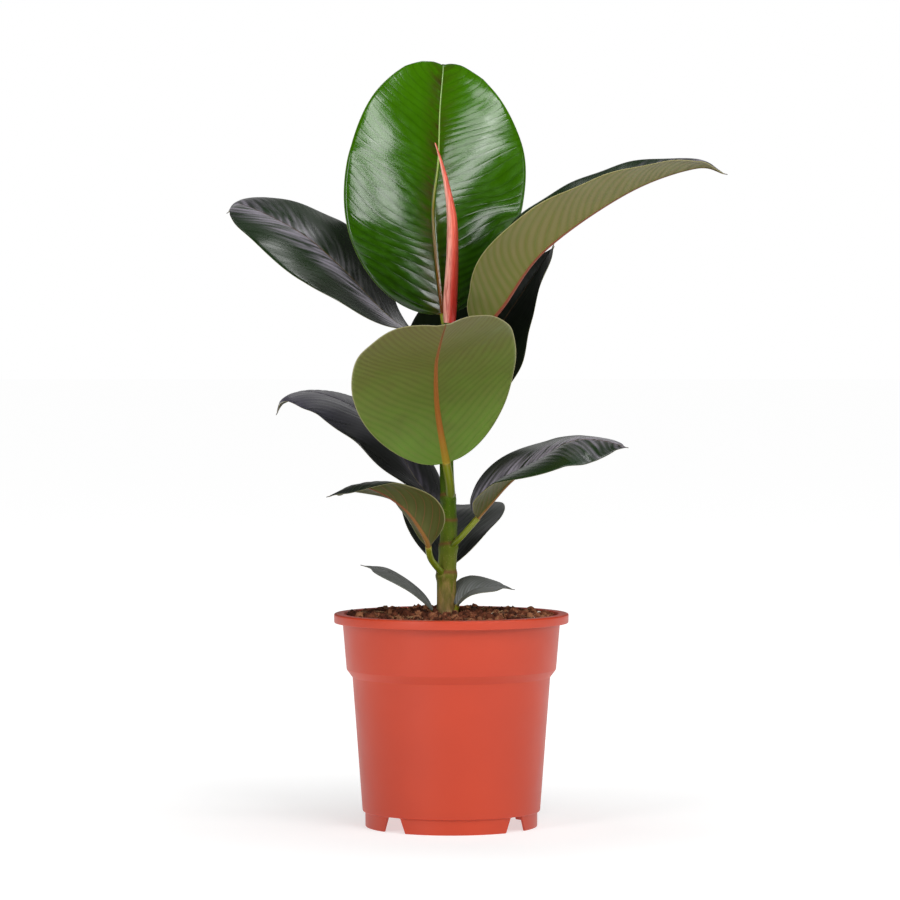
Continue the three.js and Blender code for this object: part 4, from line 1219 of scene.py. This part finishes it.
def makeSoil():
    peat = soilSkin()
    angles = roundAngles(soil["segments"])
    rings = []
    for radius, height in soil["side"]:
        rings.append([(radius * math.cos(a), radius * math.sin(a), height) for a in angles])
    for left in range(soil["rings"], 0, -1):
        ring = []
        radius = soil["edge"] * left / soil["rings"]
        for a in angles:
            x, y = radius * math.cos(a), radius * math.sin(a)
            grain = Vector((x / soil["gritSize"], y / soil["gritSize"], 0.3))
            ring.append((x, y, soilTop(x, y) + soil["grit"] * noise.fractal(grain, 0.7, 2.1, 4)))
        rings.append(ring)
    points, faces = loftPoints(np.array(rings))
    fields = {"odd": np.full(len(points), soil["oddness"])}
    newPiece("pottingPeat", points, faces, [peat], ["potting_soil"], None, fields)
    scatterBits("peatCrumbs", crumbs, peat)
    bark = bitSkin("shreddedBark", [(0.3, "#3a2216"), (0.6, "#6d4a30"), (0.8, "#94704c")], 0.8)
    scatterBits("barkChips", chips, bark)
    glass = bitSkin("expandedPerlite", [(0.3, "#cfc6b4"), (0.7, "#f0ebe0")], 0.85)
    scatterBits("perliteBits", perlite, glass, 2)
    straw = bitSkin("dryFibre", [(0.3, "#85603c"), (0.7, "#c8a476")], 0.7)
    scatterFibres("peatFibres", fibres, straw)


makeSoil()
print("soil made")

# Studio: a white floor that glows, less near the pot as a painted shadow, an even white surround
# and large soft lamps.

studio = {
    "frontGlow": 0.06,
    "backGlow": 0.7,
    "floorSize": 60,  # metres
    "floorGlow": (0.6, 0.97),
    "lamps": [
        ("leftBox", (-1300, -1700, 900), (700, 1500), 0, 19),
        ("keyStrip", (480, -1280, 1600), (290, 1150), -30, 10),
        ("sidePanel", (30, -1730, 1290), (260, 440), 0, 3.6),
        ("crownPanel", (337, -1036, 2047), (520, 380), 0, 4),
        ("lowPanel", (1083, -1121, 730), (660, 380), 0, 6),
        ("rightBox", (1700, -700, 900), (900, 1300), 0, 5),
        ("backStrip", (0, 2300, 1500), (1300, 1500), 0, 3.4),
        ("glossLeft", (440, 680, 1914), (300, 300), 0, 1.8),
        ("glossRight", (-600, 640, 2060), (400, 300), 0, 1.4),
    ],
    "aim": (0, 0, 260),
}


def makeStudio():
    world = bpy.data.worlds.new("whiteStudio")
    bpy.context.scene.world = world
    world.use_nodes = True
    tree = world.node_tree
    tree.nodes.clear()
    seen = addNode(tree, "LightPath").outputs["Is Camera Ray"]
    direction = addNode(tree, "TexCoord").outputs["Generated"]
    parts = addNode(tree, "SeparateXYZ", {}, {"Vector": direction})
    glows = (studio["frontGlow"], studio["backGlow"])
    glow = addNode(tree, "MapRange", {"interpolation_type": "SMOOTHSTEP",
                                      "range": (-0.2, 0.6, *glows)}, {"Value": parts.outputs["Y"]})
    high = addNode(tree, "MapRange", {"interpolation_type": "SMOOTHSTEP",
                                      "range": (0.02, 0.16, 1, 0.1)}, {"Value": parts.outputs["Z"]})
    sunk = addNode(tree, "Math", {"operation": "MULTIPLY"}, {0: glow, 1: high})
    strength = addNode(tree, "Mix", {"data_type": "FLOAT", 3: 1.0}, {0: seen, 2: sunk})
    white = addNode(tree, "Background", {"Color": (1, 1, 1, 1)}, {"Strength": strength})
    addNode(tree, "OutputWorld", {}, {"Surface": white})

    form = bmesh.new()
    bmesh.ops.create_grid(form, x_segments=4, y_segments=4, size=studio["floorSize"] / 2)
    mesh = bpy.data.meshes.new("studioFloor")
    form.to_mesh(mesh)
    form.free()
    material, tree = newMaterial("whitePaperSweep")
    shader = addNode(tree, "BsdfDiffuse", {"Color": "#c0c0c0"})
    place = addNode(tree, "TexCoord").outputs["Object"]
    away = addNode(tree, "VectorMath", {"operation": "LENGTH"}, {0: place})
    # The floor's glow rises away from the pot: painted light where the lamps fall off, and a
    # painted shadow round the pot's foot.
    rise = addNode(tree, "MapRange", {"range": (0.09, 0.5, *studio["floorGlow"])}, {"Value": away})
    lift = addNode(tree, "Emission", {"Color": (1, 1, 1, 1)}, {"Strength": rise})
    both = addNode(tree, "AddShader", {}, {0: shader, 1: lift})
    addNode(tree, "OutputMaterial", {}, {"Surface": both})
    mesh.materials.append(material)
    floor = addObject("studioFloor", mesh)

    for name, place, size, roll, power in studio["lamps"]:
        lamp = bpy.data.lights.new(name, "AREA")
        lamp.shape = "RECTANGLE"
        lamp.size, lamp.size_y = size[0] * mm, size[1] * mm
        lamp.energy = power
        holder = addObject(name, lamp)
        holder.location = toFrame(place)
        towards = Vector(toFrame(studio["aim"]) - toFrame(place))
        turned = towards.to_track_quat("-Z", "Y") @ Quaternion((0, 0, 1), math.radians(roll))
        holder.rotation_euler = turned.to_euler()
        holder.visible_camera = False
    bpy.context.scene.view_settings.view_transform = "Standard"


makeStudio()
print("studio lit")
